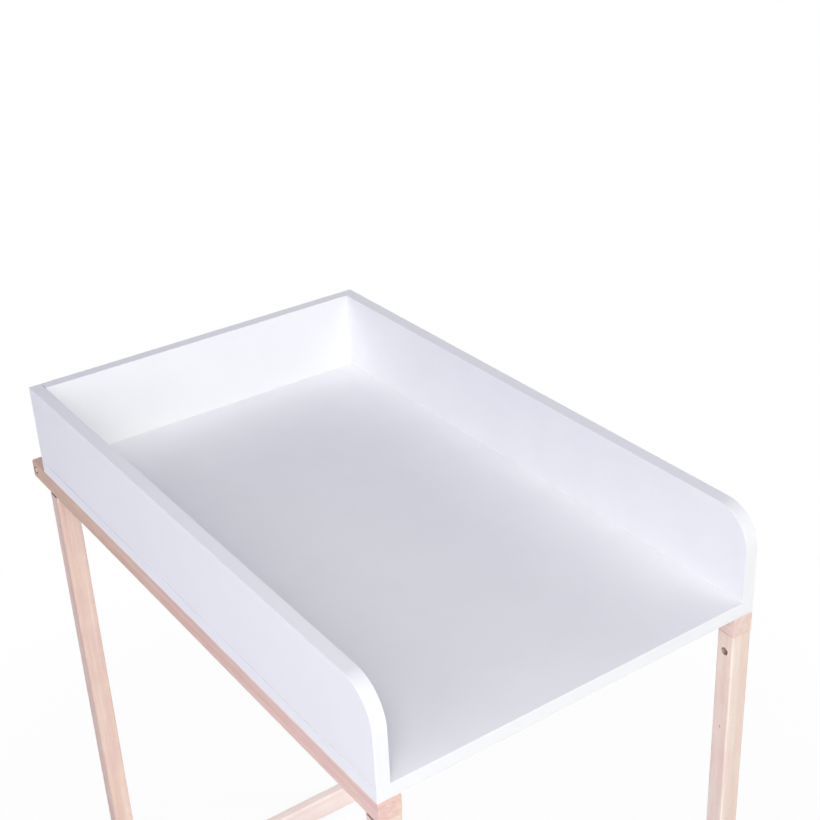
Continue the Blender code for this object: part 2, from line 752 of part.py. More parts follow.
def make_bath():
    """The bath: a lofted inner skin given its wall outwards, with four feet and a drain hole."""
    shape = bmesh.new()
    rings = []
    for sizes in bath_rings():
        rings.append([shape.verts.new(point) for point in bath_outline(*sizes)])
    shape.faces.new(rings[0])
    for lower, upper in zip(rings, rings[1:]):
        for index in range(BATH_SIDES):
            after = (index + 1) % BATH_SIDES
            shape.faces.new((lower[after], lower[index], upper[index], upper[after]))
    bath = add_object("bath_tub", mesh_from(shape, "bath_tub"), BATH_PLASTIC)
    wall = bath.modifiers.new("wall", "SOLIDIFY")
    wall.thickness = BATH_WALL
    wall.offset = -1
    wall.use_even_offset = False
    head_feet = BATH_FLOOR_FRONT + HEAD_FEET_FROM_FLOOR_END
    rear_feet = BATH_FLOOR_REAR - REAR_FEET_FROM_FLOOR_END
    height = BATH_FOOT_HEIGHT + BATH_FOOT_SINK
    for sign in SIDES.values():
        for y in (head_feet, rear_feet):
            foot = Vector((sign * BATH_FOOT_FROM_MIDDLE, y, GAP))
            join_shape(bath, cylinder_shape(BATH_FOOT_RADIUS, height, foot, UP))
    return bath


def make_drain(bath):
    """The drain ring in the bath's floor, and the plug in the ring."""
    centre = Vector((0, BATH_FLOOR_REAR - DRAIN_FROM_FLOOR_END, BATH_FLOOR))
    drill(bath, DRAIN_RADIUS + HOLE_CLEARANCE, centre, -UP, BATH_WALL + OVERRUN)
    seat = GAP + DRAIN_FLANGE_HEIGHT
    ring = [
        (DRAIN_BORE_RADIUS, seat),
        (DRAIN_FLANGE_RADIUS, seat),
        (DRAIN_FLANGE_RADIUS, GAP),
        (DRAIN_RADIUS, GAP),
        (DRAIN_RADIUS, -DRAIN_SLEEVE_LENGTH),
        (DRAIN_BORE_RADIUS, -DRAIN_SLEEVE_LENGTH),
        (DRAIN_BORE_RADIUS, seat),
    ]
    turned("bath_drain_ring", ring, centre, UP, STEEL, 2 * ROUND_SIDES)
    body = DRAIN_BORE_RADIUS - PLUG_CLEARANCE
    top = seat + GAP + PLUG_HEAD_HEIGHT
    plug_profile = [
        (0, top),
        (PLUG_HEAD_RADIUS - PLUG_TAPER, top),
        (PLUG_HEAD_RADIUS, top - PLUG_TAPER),
        (PLUG_HEAD_RADIUS, seat + GAP),
        (body, seat + GAP),
        (body - PLUG_TAPER, seat - PLUG_DEPTH),
        (0, seat - PLUG_DEPTH),
    ]
    plug = turned("bath_plug", plug_profile, centre, UP, RUBBER, 2 * ROUND_SIDES)
    bpy.ops.mesh.primitive_torus_add(
        major_segments=ROUND_SIDES,
        minor_segments=SMALL_SIDES // 2,
        major_radius=PLUG_RING_RADIUS,
        minor_radius=PLUG_RING_WIRE,
        location=centre + UP * (top + PLUG_RING_RADIUS + PLUG_RING_WIRE - PLUG_RING_SINK),
        rotation=(QUARTER_TURN, 0, 0),
    )
    ring_tool = bpy.context.active_object
    ring_tool.name = "bath_plug_join"
    ring_tool.hide_render = True
    ring_tool.display_type = "WIRE"
    for collection in list(ring_tool.users_collection):
        collection.objects.unlink(ring_tool)
    CUTTERS.objects.link(ring_tool)
    combine(plug, ring_tool, "UNION")


def shade_round_pieces():
    """Shades the pieces smooth where their faces meet at a small angle."""
    for obj in TABLE.objects:
        obj.data.shade_smooth()
        obj.data.set_sharp_from_angle(angle=QUARTER_TURN / 3)


def make_table():
    """Makes the whole table, from the tray down to the bath."""
    tray = make_tray()
    make_tray_screws(tray)
    bars = make_frame_bars()
    make_leg_bolts(bars)
    make_rear_bar_bolts(bars)
    make_dowels(bars)
    make_glides(bars)
    make_hinges(tray, bars)
    make_buffers(bars)
    bath = make_bath()
    make_drain(bath)
    shade_round_pieces()


make_table()
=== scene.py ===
# %% [markdown]
# # A beech changing table with a bathtub
# This lesson dresses a ready CAD frame for a picture. The real thing is a white lacquered tray with three
# walls. It rests on two beech rails and four thin legs, and a small bath stands between the legs. The CAD
# frame already has every part at its true size and place, so nothing here is measured by eye. Each visible
# part is modelled again with finer edges, in the place of its CAD node, and gets a finish of its own.

import math
from functools import partial

import bmesh
import bpy
from mathutils import Matrix, Vector


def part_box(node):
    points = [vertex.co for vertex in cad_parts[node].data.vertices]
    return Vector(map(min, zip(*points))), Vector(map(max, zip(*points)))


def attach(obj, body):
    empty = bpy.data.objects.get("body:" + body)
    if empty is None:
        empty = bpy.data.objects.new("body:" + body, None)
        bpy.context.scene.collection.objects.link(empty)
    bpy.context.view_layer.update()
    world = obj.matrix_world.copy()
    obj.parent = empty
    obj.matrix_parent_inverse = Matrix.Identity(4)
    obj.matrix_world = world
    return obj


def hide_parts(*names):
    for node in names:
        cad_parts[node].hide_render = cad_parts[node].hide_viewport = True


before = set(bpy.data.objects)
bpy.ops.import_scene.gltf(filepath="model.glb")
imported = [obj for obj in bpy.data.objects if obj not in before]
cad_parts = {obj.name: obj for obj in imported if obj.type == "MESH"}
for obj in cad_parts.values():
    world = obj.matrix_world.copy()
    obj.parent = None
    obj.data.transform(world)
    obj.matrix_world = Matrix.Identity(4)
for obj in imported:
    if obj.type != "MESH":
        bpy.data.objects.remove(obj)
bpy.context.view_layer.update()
MM = 0.001
UP = Vector((0, 0, 1))
SIDES = {"left": -1, "right": 1}


def corners(node):
    """The lowest and the highest corner of a CAD node."""
    low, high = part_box(node)
    return Vector(low), Vector(high)


def middle(node):
    """The middle of a CAD node's box."""
    low, high = corners(node)
    return (low + high) / 2


def face(node, axis, end):
    """The middle of a CAD node's low (0) or high (1) face across an axis: 0, 1 or 2 for X, Y or Z."""
    place = middle(node)
    place[axis] = corners(node)[end][axis]
    return place


def half(node, axis=0):
    """Half the size of a CAD node along an axis."""
    low, high = corners(node)
    return (high[axis] - low[axis]) / 2


# %% [markdown]
# ## The camera
# The picture is taken from the front left, from above the tray, with a slight roll. Six numbers place such
# a camera: where it stands, which way it turns, how far it looks down, and how it rolls. It is placed from
# the tray's front left lower corner, because that corner is the sharpest point in the picture.

# %% Place the camera
EYE_FROM_TRAY_CORNER = Vector((-0.5867, -0.9811, 1.0463))
CAMERA_AZIMUTH = 33.579
CAMERA_DOWN = 27.463
CAMERA_ROLL = -2.898
CAMERA_LENS = 64.2
CAMERA_SENSOR = 36
tray_low, tray_high = corners("tray_base")

camera_data = bpy.data.cameras.new("camera")
camera_data.lens = CAMERA_LENS
camera_data.sensor_width = CAMERA_SENSOR
camera = bpy.data.objects.new("camera", camera_data)
bpy.context.scene.collection.objects.link(camera)
bpy.context.scene.camera = camera
turn = Matrix.Rotation(math.radians(-CAMERA_AZIMUTH), 4, "Z")
tilt = Matrix.Rotation(math.radians(90 - CAMERA_DOWN), 4, "X")
roll = Matrix.Rotation(math.radians(CAMERA_ROLL), 4, "Z")
camera.matrix_world = Matrix.Translation(tray_low + EYE_FROM_TRAY_CORNER) @ turn @ tilt @ roll
print("camera at", [round(value, 3) for value in camera.matrix_world.translation])

# %% [markdown]
# ## Nodes and colours
# Colours are given as sRGB hex values, but the shader counts light, so one function turns them to linear
# values. A second one feeds a node's inputs, and a third adds a shader node with its settings and links,
# which keeps each recipe short enough to read as a list of layers.

# %% Helpers for materials


def linear(hex_colour):
    """Turns an sRGB hex colour into linear RGBA."""
    channels = [int(hex_colour[start : start + 2], 16) / 255 for start in (1, 3, 5)]
    light = [c / 12.92 if c <= 0.04045 else ((c + 0.055) / 1.055) ** 2.4 for c in channels]
    return (*light, 1)


def feed(node, inputs):
    """Feeds a node's inputs, by name or as a list in the order in which the node shows them.

    An input is a value, a hex colour, an output socket, or a node, which gives its first output.
    """
    if isinstance(inputs, dict):
        pairs = [(node.inputs[name], value) for name, value in inputs.items()]
    else:
        pairs = zip([socket for socket in node.inputs if socket.enabled], inputs)
    for socket, value in pairs:
        if isinstance(value, bpy.types.Node):
            value = next(output for output in value.outputs if output.enabled)
        if isinstance(value, bpy.types.NodeSocket):
            node.id_data.links.new(value, socket)
        else:
            socket.default_value = linear(value) if isinstance(value, str) else value


def add_node(tree, kind, inputs=(), **settings):
    """Adds one shader node of a kind, such as TexNoise, with its settings and its inputs."""
    node = tree.nodes.new("ShaderNode" + kind)
    for name, value in settings.items():
        setattr(node, name, value)
    feed(node, inputs)
    return node


def new_finish(name, **values):
    """A new material, with a function that adds nodes to it, its shader and its object coordinates."""
    material = bpy.data.materials.new(name)
    material.use_nodes = True
    add = partial(add_node, material.node_tree)
    shader = material.node_tree.nodes["Principled BSDF"]
    feed(shader, {socket.replace("_", " "): value for socket, value in values.items()})
    return material, add, shader, add("TexCoord").outputs["Object"]


# %% [markdown]
# ## White silk lacquer on fibreboard
# The tray's boards are medium density fibreboard, sprayed with white lacquer in several coats. Spraying
# leaves a very fine orange peel, a few millimetres from crest to crest, and a matting agent in the last coat
# gives a silky sheen with soft reflections that waver a little. Two noise layers do this: one bends the
# surface, the other changes the roughness and the white by a trace.

# %% Lacquer
ORANGE_PEEL = 3.5 * MM
PEEL_RELIEF = 0.04 * MM
HAZE = 60 * MM
lacquer, add, shader, place = new_finish("white_silk_lacquer_on_fibreboard", IOR=1.49)
peel = add("TexNoise", {"Vector": place, "Scale": 1 / ORANGE_PEEL, "Detail": 2})
haze = add("TexNoise", {"Vector": place, "Scale": 1 / HAZE, "Detail": 4})
white = add("Mix", [haze, "#F0F0F4", "#F5F5F8"], data_type="RGBA")
sheen = add("MapRange", {"Value": haze, "To Min": 0.36, "To Max": 0.46})
bump = add("Bump", {"Height": peel, "Strength": 0.25, "Distance": PEEL_RELIEF})
feed(shader, {"Base Color": white, "Roughness": sheen, "Normal": bump})
print("made", lacquer.name)

# %% [markdown]
# ## Beech
# Beech is a dense pale wood with a pink cast from steaming. It shows broad soft bands where the growth
# rings are cut, fine fibres along the board, and short dark flecks, the rays. All of them are stretched
# along the grain, so the noise is read through coordinates that are scaled: small steps across the grain
# and long ones along it. The real rays are too fine to show from two metres, so they are drawn twice as
# wide. No two bars come from the same plank, so the rails are darker than the legs, and one leg has a small
# pin knot. The crossbars' colours are painted paler than the legs', which is painted light for the low
# crossbar in the shade of the tray. Painted shade darkens the inside of each drilled hole, and each face
# that looks up below a leg's top, such as the floor of the slot under the rail.

# %% Beech
RING_BAND = 9 * MM
RING_RUN = 420 * MM
FIBRE_WIDTH = 1.3 * MM
FIBRE_RUN = 34 * MM
RAY_WIDTH = 1.1 * MM
RAY_RUN = 5.5 * MM
TONE_DRIFT = 55 * MM
# Of each layer: its width and run, its detail, the noise at which it starts and is full, and its share.
GRAIN_LAYERS = {
    "rings": (RING_BAND, RING_RUN, 2, 0.32, 0.68, 0.38),
    "fibres": (FIBRE_WIDTH, FIBRE_RUN, 4, 0.3, 0.7, 0.26),
    "rays": (RAY_WIDTH, RAY_RUN, 1, 0.64, 0.74, 0.34),
    "drift": (TONE_DRIFT, TONE_DRIFT, 2, 0.35, 0.65, 1),
}
FIBRE_RELIEF = 0.08 * MM
KNOT_TONE = "#B08468"
KNOT_UNDER_TRAY = 170 * MM
KNOT_REACH = (3 * MM, 1.1 * MM, 2.6 * MM)
KNOT_FADE = (0.6, 1.3)
KNOT_SHARE = 0.7
# Painted shade: the tone that darkens drilled holes and the faces that look up below a leg's top.
PAINTED_SHADE_TONE = "#8C6C5E"
HOLE_SHADE_DEPTH = 60 * MM
HOLE_SHADE_FADE = (0.98, 1.02)
HOLE_SHADE_SHARE = 0.62
NUT_BORE_SLACK = 0.45 * MM
SIDE_BORE_SLACK = 0.1 * MM
SIDE_COUNTERBORE = 6 * MM
# Painted shade on a leg's faces that look up below its top: its share, and the facing at which it starts and
# is full.
LEDGE_SHADE_SHARE = 0.75
LEDGE_SHADE_FACING = (0.7, 0.95)
leg_top = corners("leg_front_right")[1].z


def grain_scale(axis, across, along):
    """The coordinate scale for a pattern that is stretched along one axis."""
    return [1 / along if index == axis else 1 / across for index in range(3)]


def soft_spot(add, place, centre, reach, fade, strength):
    """The strength inside an ellipsoid with a reach on each axis, fading out between two shares of it."""
    away = add("VectorMath", [place, centre], operation="SUBTRACT")
    shares = [1 / length for length in reach]
    away = add("VectorMath", [away, shares], operation="MULTIPLY")
    radius = add("VectorMath", [away], operation="LENGTH")
    limits = {"From Min": fade[0], "From Max": fade[1], "To Min": strength, "To Max": 0}
    return add("MapRange", {"Value": radius, **limits})


def beech(name, axis, pale, pink, dark, knot=None, hole_shade=None, far_tint=None):
    """Clear lacquered beech with its grain along an axis: 0, 1 or 2 for X, Y or Z."""
    material, add, shader, place = new_finish(name, IOR=1.5)
    noises = {}
    shares = {}
    for layer, (across, along, detail, start, full, most) in GRAIN_LAYERS.items():
        scale = grain_scale(axis, across, along)
        mapping = add("Mapping", {"Vector": place, "Scale": scale})
        noise = add("TexNoise", {"Vector": mapping, "Scale": 1, "Detail": detail})
        limits = {"From Min": start, "From Max": full, "To Max": most}
        shares[layer] = add("MapRange", {"Value": noise, **limits})
        noises[layer] = noise
    plank = add("Mix", [shares["drift"], pale, pink], data_type="RGBA")
    share = add("Math", [shares["rings"], shares["fibres"]], operation="ADD")
    share = add("Math", [share, shares["rays"]], operation="ADD")
    colour = add("Mix", [share, plank, dark], data_type="RGBA")
    where = add("SeparateXYZ", [place]).outputs
    if far_tint is not None:
        span = {"Value": where["Y"], "From Min": tray_low.y, "From Max": tray_high.y}
        far = add("MapRange", span, interpolation_type="SMOOTHSTEP")
        tint = add("Mix", [far, "#FFFFFF", far_tint], data_type="RGBA")
        colour = add("Mix", [1, colour, tint], data_type="RGBA", blend_type="MULTIPLY")
    if knot is not None:
        spot = soft_spot(add, place, knot, KNOT_REACH, KNOT_FADE, KNOT_SHARE)
        colour = add("Mix", [spot, colour, KNOT_TONE], data_type="RGBA")
    # Painted shade on a leg's faces that look up below its top, mostly the floor of the slot under the rail.
    if axis == 2:
        facing = add("TexCoord").outputs["Normal"]
        up = add("SeparateXYZ", [facing]).outputs["Z"]
        start, full = LEDGE_SHADE_FACING
        limits = {"From Min": start, "From Max": full, "To Max": LEDGE_SHADE_SHARE}
        painted_ledge_shade = add("MapRange", {"Value": up, **limits})
        under_top = add("Math", [where["Z"], leg_top - MM], operation="LESS_THAN")
        painted_ledge_shade = add("Math", [painted_ledge_shade, under_top], operation="MULTIPLY")
        colour = add("Mix", [painted_ledge_shade, colour, PAINTED_SHADE_TONE], data_type="RGBA")
    # Painted shade inside a drilled hole.
    if hole_shade is not None:
        spot = soft_spot(add, place, *hole_shade, HOLE_SHADE_FADE, HOLE_SHADE_SHARE)
        colour = add("Mix", [spot, colour, PAINTED_SHADE_TONE], data_type="RGBA")
    fibres = noises["fibres"]
    sheen = add("MapRange", {"Value": fibres, "To Min": 0.42, "To Max": 0.6})
    bump = add("Bump", {"Height": fibres, "Strength": 0.3, "Distance": FIBRE_RELIEF})
    feed(shader, {"Base Color": colour, "Roughness": sheen, "Normal": bump})
    print("made", name)
    return material


def painted_hole_shade(mouth_x, fitting, radius):
    """Where painted shade darkens a drilled hole: the middle of its mouth, and its reach along and across the
    hole.
    """
    return (mouth_x, *middle(fitting).yz), (HOLE_SHADE_DEPTH, radius, radius)


knot = face("leg_front_right", 0, 0)
knot.z = tray_low.z - KNOT_UNDER_TRAY
nut = "barrel_nut_front_right"
# Painted shade inside the barrel nut's hole in the front right leg and the side bolt's counterbore in the
# left rail.
nut_hole_shade = painted_hole_shade(knot.x, nut, half(nut, 2) + NUT_BORE_SLACK)
bolt_hole_shade = painted_hole_shade(corners("rail_left")[0].x, "side_bolt_left", SIDE_COUNTERBORE + SIDE_BORE_SLACK)
RAIL_TONES = ("#F4D9CA", "#F4CFCD", "#CFA08F")
LEG_TONES = ("#F7E9DF", "#F4DED7", "#DDB7A4")
beech_rail = beech("steamed_beech_rail", 1, *RAIL_TONES, hole_shade=bolt_hole_shade, far_tint="#ECE9DA")
beech_pale_rail = beech("steamed_beech_pale_rail", 1, "#F6E4DA", "#F3DAD5", "#DAB4A6")
beech_leg = beech("steamed_beech_front_leg", 2, *LEG_TONES)
beech_leg_knot = beech("steamed_beech_leg_with_pin_knot", 2, *LEG_TONES, knot=knot, hole_shade=nut_hole_shade)
beech_rear_leg = beech("steamed_beech_rear_leg", 2, "#F2DDCE", "#EED2CA", "#D0A692")
# Painted light: the crossbars' colours are paler than the legs', standing in for light on the low crossbar
# under the tray.
beech_bar_painted_light = beech("steamed_beech_crossbar", 0, "#FDF3EA", "#FCEBE3", "#EED2C3")

# %% [markdown]
# ## Birch dowels
# The dowels are raw birch, cut along the grain and glued in, so they are matt and a little fibrous. They
# are only seen when the frame is taken apart.

# %% Birch
BIRCH_FIBRE = 1 * MM
BIRCH_RUN = 20 * MM
birch, add, shader, place = new_finish("raw_birch_dowel", IOR=1.45, Roughness=0.75)
scale = grain_scale(0, BIRCH_FIBRE, BIRCH_RUN)
mapping = add("Mapping", {"Vector": place, "Scale": scale})
noise = add("TexNoise", {"Vector": mapping, "Scale": 1, "Detail": 3})
tone = add("Mix", [noise, "#E2CBA5", "#C9A97C"], data_type="RGBA")
feed(shader, {"Base Color": tone})
print("made", birch.name)

# %% [markdown]
# ## Metals
# The bolts, screws, barrel nuts and hinges are steel with a thin zinc plating. Zinc is greyer than chrome,
# and its crystals break the reflection into soft patches of a few millimetres. The drain ring is polished
# stainless steel: the same grey, but smoother, with turning marks round its face. The real marks are too
# fine to show, so they are drawn 3 mm apart. The wave texture counts 20 radians to a unit of its scale.

# %% Metals
ZINC_PATCH = 2.2 * MM
TURNING_MARK_RADIAN = 0.5 * MM
WAVE_RADIANS = 20
zinc, add, shader, place = new_finish("zinc_plated_steel", Metallic=1.0)
patches = add("TexNoise", {"Vector": place, "Scale": 1 / ZINC_PATCH, "Detail": 3})
tone = add("Mix", [patches, "#C6C7C8", "#DCDAD2"], data_type="RGBA")
sheen = add("MapRange", {"Value": patches, "To Min": 0.26, "To Max": 0.46})
feed(shader, {"Base Color": tone, "Roughness": sheen})

stainless, add, shader, place = new_finish("polished_stainless_steel", Metallic=1.0)
drain_axis = Vector((*middle("bath_drain_ring").xy, 0))
centred = add("VectorMath", [place, drain_axis], operation="SUBTRACT")
wave = {"Vector": centred, "Scale": 1 / (WAVE_RADIANS * TURNING_MARK_RADIAN), "Distortion": 0.4}
marks = add("TexWave", wave, wave_type="RINGS", rings_direction="Z").outputs["Fac"]
tone = add("Mix", [marks, "#D2D3D4", "#E2E2E1"], data_type="RGBA")
sheen = add("MapRange", {"Value": marks, "To Min": 0.14, "To Max": 0.22})
feed(shader, {"Base Color": tone, "Roughness": sheen})
print("made", zinc.name, "and", stainless.name)

# %% [markdown]
# ## Plastics and rubber
# The bath is injection moulded polypropylene, white with a half gloss and a hint of light inside it. Its
# floor has a grid of raised dots against slipping, moulded in a fine matt grain. The glides are grey
# polyethylene, waxy and dull. The buffers and the plug are rubber, darker, with a fine sandy skin.

# %% Plastics and rubber
MOULD_GRAIN = 1.6 * MM
RUBBER_GRAIN = 0.8 * MM
PLASTIC_RELIEF = 0.03 * MM
RUBBER_RELIEF = 0.05 * MM
FLOW_BAND = 90 * MM
LIGHT_DEPTH = 4 * MM
DOT_SPACING = 16 * MM
DOT_HEIGHT = 0.8 * MM
DOT_ZONE = 26 * MM


def moulded(name, first, second, grain, rough_low, rough_high, depth):
    """A moulded plastic or rubber with a fine grain in its colour, its sheen and its skin."""
    material, add, shader, place = new_finish(name, IOR=1.49)
    noise = add("TexNoise", {"Vector": place, "Scale": 1 / grain, "Detail": 3})
    tone = add("Mix", [noise, first, second], data_type="RGBA")
    limits = {"To Min": rough_low, "To Max": rough_high}
    sheen = add("MapRange", {"Value": noise, **limits})
    skin = add("Bump", {"Height": noise, "Strength": 0.3, "Distance": depth})
    feed(shader, {"Base Color": tone, "Roughness": sheen, "Normal": skin})
    print("made", name)
    return material


glide_plastic = moulded("grey_polyethylene", "#8A8B8C", "#9A9B9B", MOULD_GRAIN, 0.45, 0.6, PLASTIC_RELIEF)
rubber = moulded("dark_grey_rubber", "#4A4B4D", "#585A5C", RUBBER_GRAIN, 0.65, 0.85, RUBBER_RELIEF)

polypropylene, add, shader, place = new_finish(
    "white_moulded_polypropylene", IOR=1.49, Subsurface_Weight=0.08, Subsurface_Scale=LIGHT_DEPTH
)
grain = add("TexNoise", {"Vector": place, "Scale": 1 / MOULD_GRAIN, "Detail": 2})
flow = add("TexNoise", {"Vector": place, "Scale": 1 / FLOW_BAND, "Detail": 2})
tone = add("Mix", [flow, "#EEF0F3", "#F4F5F7"], data_type="RGBA")
sheen = add("MapRange", {"Value": grain, "To Min": 0.24, "To Max": 0.36})
grid = {"Vector": place, "Scale": 1 / DOT_SPACING, "Randomness": 0.0}
dots = add("TexVoronoi", grid, voronoi_dimensions="2D")
limits = {"From Min": 0.12, "From Max": 0.26, "To Min": 1, "To Max": 0}
dome = add("MapRange", {"Value": dots, **limits})
height = add("SeparateXYZ", [place]).outputs["Z"]
on_floor = add("Math", [height, DOT_ZONE], operation="LESS_THAN")
floor_dots = add("Math", [dome, on_floor], operation="MULTIPLY")
skin = add("Bump", {"Height": grain, "Strength": 0.15, "Distance": PLASTIC_RELIEF})
raised = {"Height": floor_dots, "Strength": 0.8, "Distance": DOT_HEIGHT, "Normal": skin}
bump = add("Bump", raised)
feed(shader, {"Base Color": tone, "Roughness": sheen, "Normal": bump})
print("made", polypropylene.name)

# %% [markdown]
# ## Working by hand, in code
# Each new part starts as a primitive at its size and place. Its edges are picked by where they are and
# bevelled in edit mode, holes are cut with a boolean, and its place is applied, so that the object sits at
# the origin as the CAD nodes do. A bevel alone leaves grey streaks on the flat faces next to it. A weighted
# normal modifier lets the large faces decide the shading, which keeps them flat and the edges soft.

# %% Helpers for modelling
SHARP = math.radians(35)
NEARLY = 0.01 * MM


def activate(piece):
    """Makes one piece the only selected one and the active one."""
    bpy.ops.object.select_all(action="DESELECT")
    piece.select_set(True)
    bpy.context.view_layer.objects.active = piece


def settle(piece):
    """Puts a piece's place, turn and size into its mesh."""
    activate(piece)
    bpy.ops.object.transform_apply(location=True, rotation=True, scale=True)


def with_modifier(piece, kind, **settings):
    """Adds a modifier with its settings and applies it."""
    activate(piece)
    bpy.ops.object.modifier_add(type=kind)
    modifier = piece.modifiers[-1]
    for name, value in settings.items():
        setattr(modifier, name, value)
    bpy.ops.object.modifier_apply(modifier=modifier.name)


def start_piece(name, add, **shape):
    """Adds a primitive while nothing else is selected, names it and puts its place into its mesh."""
    bpy.ops.object.select_all(action="DESELECT")
    add(**shape)
    piece = bpy.context.active_object
    piece.name = name
    settle(piece)
    return piece


def block(name, first, second):
    """A cube primitive between two opposite corners."""
    place = {"location": (first + second) / 2, "scale": [abs(length) for length in second - first]}
    return start_piece(name, bpy.ops.mesh.primitive_cube_add, size=1, **place)


def stand(name, add, start, end, **shape):
    """A primitive that stands from one point to another."""
    way = end - start
    turned = UP.rotation_difference(way).to_euler()
    return start_piece(name, add, depth=way.length, location=(start + end) / 2, rotation=turned, **shape)


def rod(name, radius, start, end, sides=48):
    """A cylinder primitive from one point to another."""
    return stand(name, bpy.ops.mesh.primitive_cylinder_add, start, end, vertices=sides, radius=radius)


def cone(name, radius, end_radius, start, end, sides):
    """A cone primitive from one point to another."""
    shape = {"vertices": sides, "radius1": radius, "radius2": end_radius}
    return stand(name, bpy.ops.mesh.primitive_cone_add, start, end, **shape)


def select_whole():
    """Selects the whole mesh in edit mode."""
    bpy.ops.mesh.select_all(action="SELECT")


def round_edges(piece, radius, steps, chosen=None):
    """Bevels the sharp edges of a piece, or only the edges that are chosen by their place."""
    activate(piece)
    bpy.ops.object.mode_set(mode="EDIT")
    bpy.ops.mesh.select_mode(type="EDGE")
    bpy.ops.mesh.select_all(action="DESELECT")
    if chosen is None:
        bpy.ops.mesh.edges_select_sharp(sharpness=SHARP)
    else:
        shape = bmesh.from_edit_mesh(piece.data)
        for edge in shape.edges:
            edge.select_set(chosen(edge))
        bmesh.update_edit_mesh(piece.data)
    bpy.ops.mesh.bevel(offset=radius, segments=steps, profile=0.5, affect="EDGES")
    bpy.ops.object.mode_set(mode="OBJECT")


def is_sharp(edge):
    """True for an edge at which two faces meet at a clear angle."""
    return edge.is_manifold and edge.calc_face_angle() > SHARP


def lies_at(edge, axis, value):
    """True for an edge that lies in the plane across an axis at a value."""
    return all(abs(vertex.co[axis] - value) < NEARLY for vertex in edge.verts)


def round_by_share(piece, radius, steps, share):
    """Bevels each edge with its own share of a radius, between zero and one."""
    activate(piece)
    bpy.ops.object.mode_set(mode="EDIT")
    shape = bmesh.from_edit_mesh(piece.data)
    weight = shape.edges.layers.float.new("bevel_weight_edge")
    for edge in shape.edges:
        edge[weight] = share(edge)
    bmesh.update_edit_mesh(piece.data)
    bpy.ops.object.mode_set(mode="OBJECT")
    settings = {"limit_method": "WEIGHT", "use_clamp_overlap": False}
    with_modifier(piece, "BEVEL", width=radius, segments=steps, **settings)


def cut(piece, tool, operation="DIFFERENCE"):
    """Cuts a tool out of a piece, or joins it on, and removes the tool."""
    with_modifier(piece, "BOOLEAN", operation=operation, object=tool, solver="EXACT")
    bpy.data.objects.remove(tool, do_unlink=True)


def drill(piece, radius, start, end, sides=24):
    """Cuts a round hole from one point to another."""
    cut(piece, rod("drill", radius, start, end, sides))


def finish_piece(piece, body, material, node):
    """Shades a piece, gives it its finish, and puts it in the place of its CAD node."""
    activate(piece)
    bpy.ops.object.shade_smooth_by_angle(angle=SHARP)
    with_modifier(piece, "WEIGHTED_NORMAL", keep_sharp=True)
    piece.data.materials.clear()
    piece.data.materials.append(material)
    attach(piece, body)
    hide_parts(node)


# %% [markdown]
# ## The tray
# The tray is four boards: a base as wide as the table, a side wall along each long edge, and a back wall
# held between them. The front end is open. Each side wall has one large rounded corner at the front. Its
# lower outer edge is rounded over at almost three millimetres, where it turns away from the light and draws
# a soft grey line along the tray. The other edges are only broken by sandpaper, and glued edges stay
# square. So the large corner is bevelled first, and then each edge gets its own share of the radius. The
# back wall is pushed home to the right, so that its open left joint shows as a short dark dash.

# %% Boards of the tray
CORNER_RADIUS = 50 * MM
CORNER_STEPS = 28
BASE_EDGE = 0.4 * MM
LOWER_EDGE = 2.8 * MM
CRISP_SHARE = 0.16
EASED_STEPS = 5
REBATE_SLACK = 0.1 * MM
BACK_SLACK = 0.3 * MM
OPEN_JOINT = 0.4 * MM
OPEN_JOINT_DEPTH = 4 * MM
OPEN_JOINT_START = 8 * MM
LEFT_END_GAP = 0.7 * MM
RIGHT_END_PUSH = 0.2 * MM
base_low, base_high = corners("tray_base")
back_low, back_high = corners("tray_back")
floor_side = corners("tray_side_right")[0].x - REBATE_SLACK
rebate_low = back_low.z - REBATE_SLACK
CRISP_EDGE = CRISP_SHARE * LOWER_EDGE
OVERRUN = 1 * MM
base = block("tray_base_board", base_low, base_high)
round_edges(base, BASE_EDGE, EASED_STEPS)
out = Vector((OVERRUN, OVERRUN, OVERRUN))
for sign in SIDES.values():
    inner = Vector((sign * floor_side, base_low.y - OVERRUN, rebate_low))
    outer = Vector((sign * (base_high.x + OVERRUN), *(base_high + out).yz))
    cut(base, block("side rebate", inner, outer))
back_start = Vector((base_low.x - OVERRUN, back_low.y - BACK_SLACK, rebate_low))
cut(base, block("back rebate", back_start, base_high + out))
for sign in SIDES.values():
    inner_x = sign * (base_high.x - OPEN_JOINT_DEPTH)
    inner = Vector((inner_x, base_low.y + OPEN_JOINT_START, rebate_low - OPEN_JOINT))
    outer = Vector((sign * (base_high.x + OVERRUN), base_high.y + OVERRUN, base_high.z))
    cut(base, block("open joint", inner, outer))
walls = {}
for side in SIDES:
    low, high = corners("tray_side_" + side)
    outer_x = low.x if side == "left" else high.x
    wall = block("tray_wall_" + side, low, high)

    def eased_share(edge):
        """The full radius along the lower outer edge, none at glued edges, a small share elsewhere."""
        if not is_sharp(edge):
            return 0
        if lies_at(edge, 2, low.z):
            return 1 if lies_at(edge, 0, outer_x) else 0
        return CRISP_SHARE

    is_front_top = lambda edge: lies_at(edge, 1, low.y) and lies_at(edge, 2, high.z)
    round_edges(wall, CORNER_RADIUS, CORNER_STEPS, is_front_top)
    round_by_share(wall, LOWER_EDGE, EASED_STEPS, eased_share)
    walls[side] = wall
low = back_low + Vector((LEFT_END_GAP, 0, 0))
high = back_high + Vector((RIGHT_END_PUSH, 0, 0))
back_wall = block("tray_wall_back", low, high)
for y in (low.y, high.y):
    is_long_top = lambda edge: lies_at(edge, 1, y) and lies_at(edge, 2, high.z)
    round_edges(back_wall, CRISP_EDGE, EASED_STEPS, is_long_top)
print("tray boards:", base.name, *[wall.name for wall in walls.values()], back_wall.name)

# %% [markdown]
# ## Screw holes in the base
# Six countersunk screws come up through the base into the walls. Each hole is cut as two rods, one for the
# shank and a wider one for the head. The screws' heads hide the step, and the walls hide the rest.

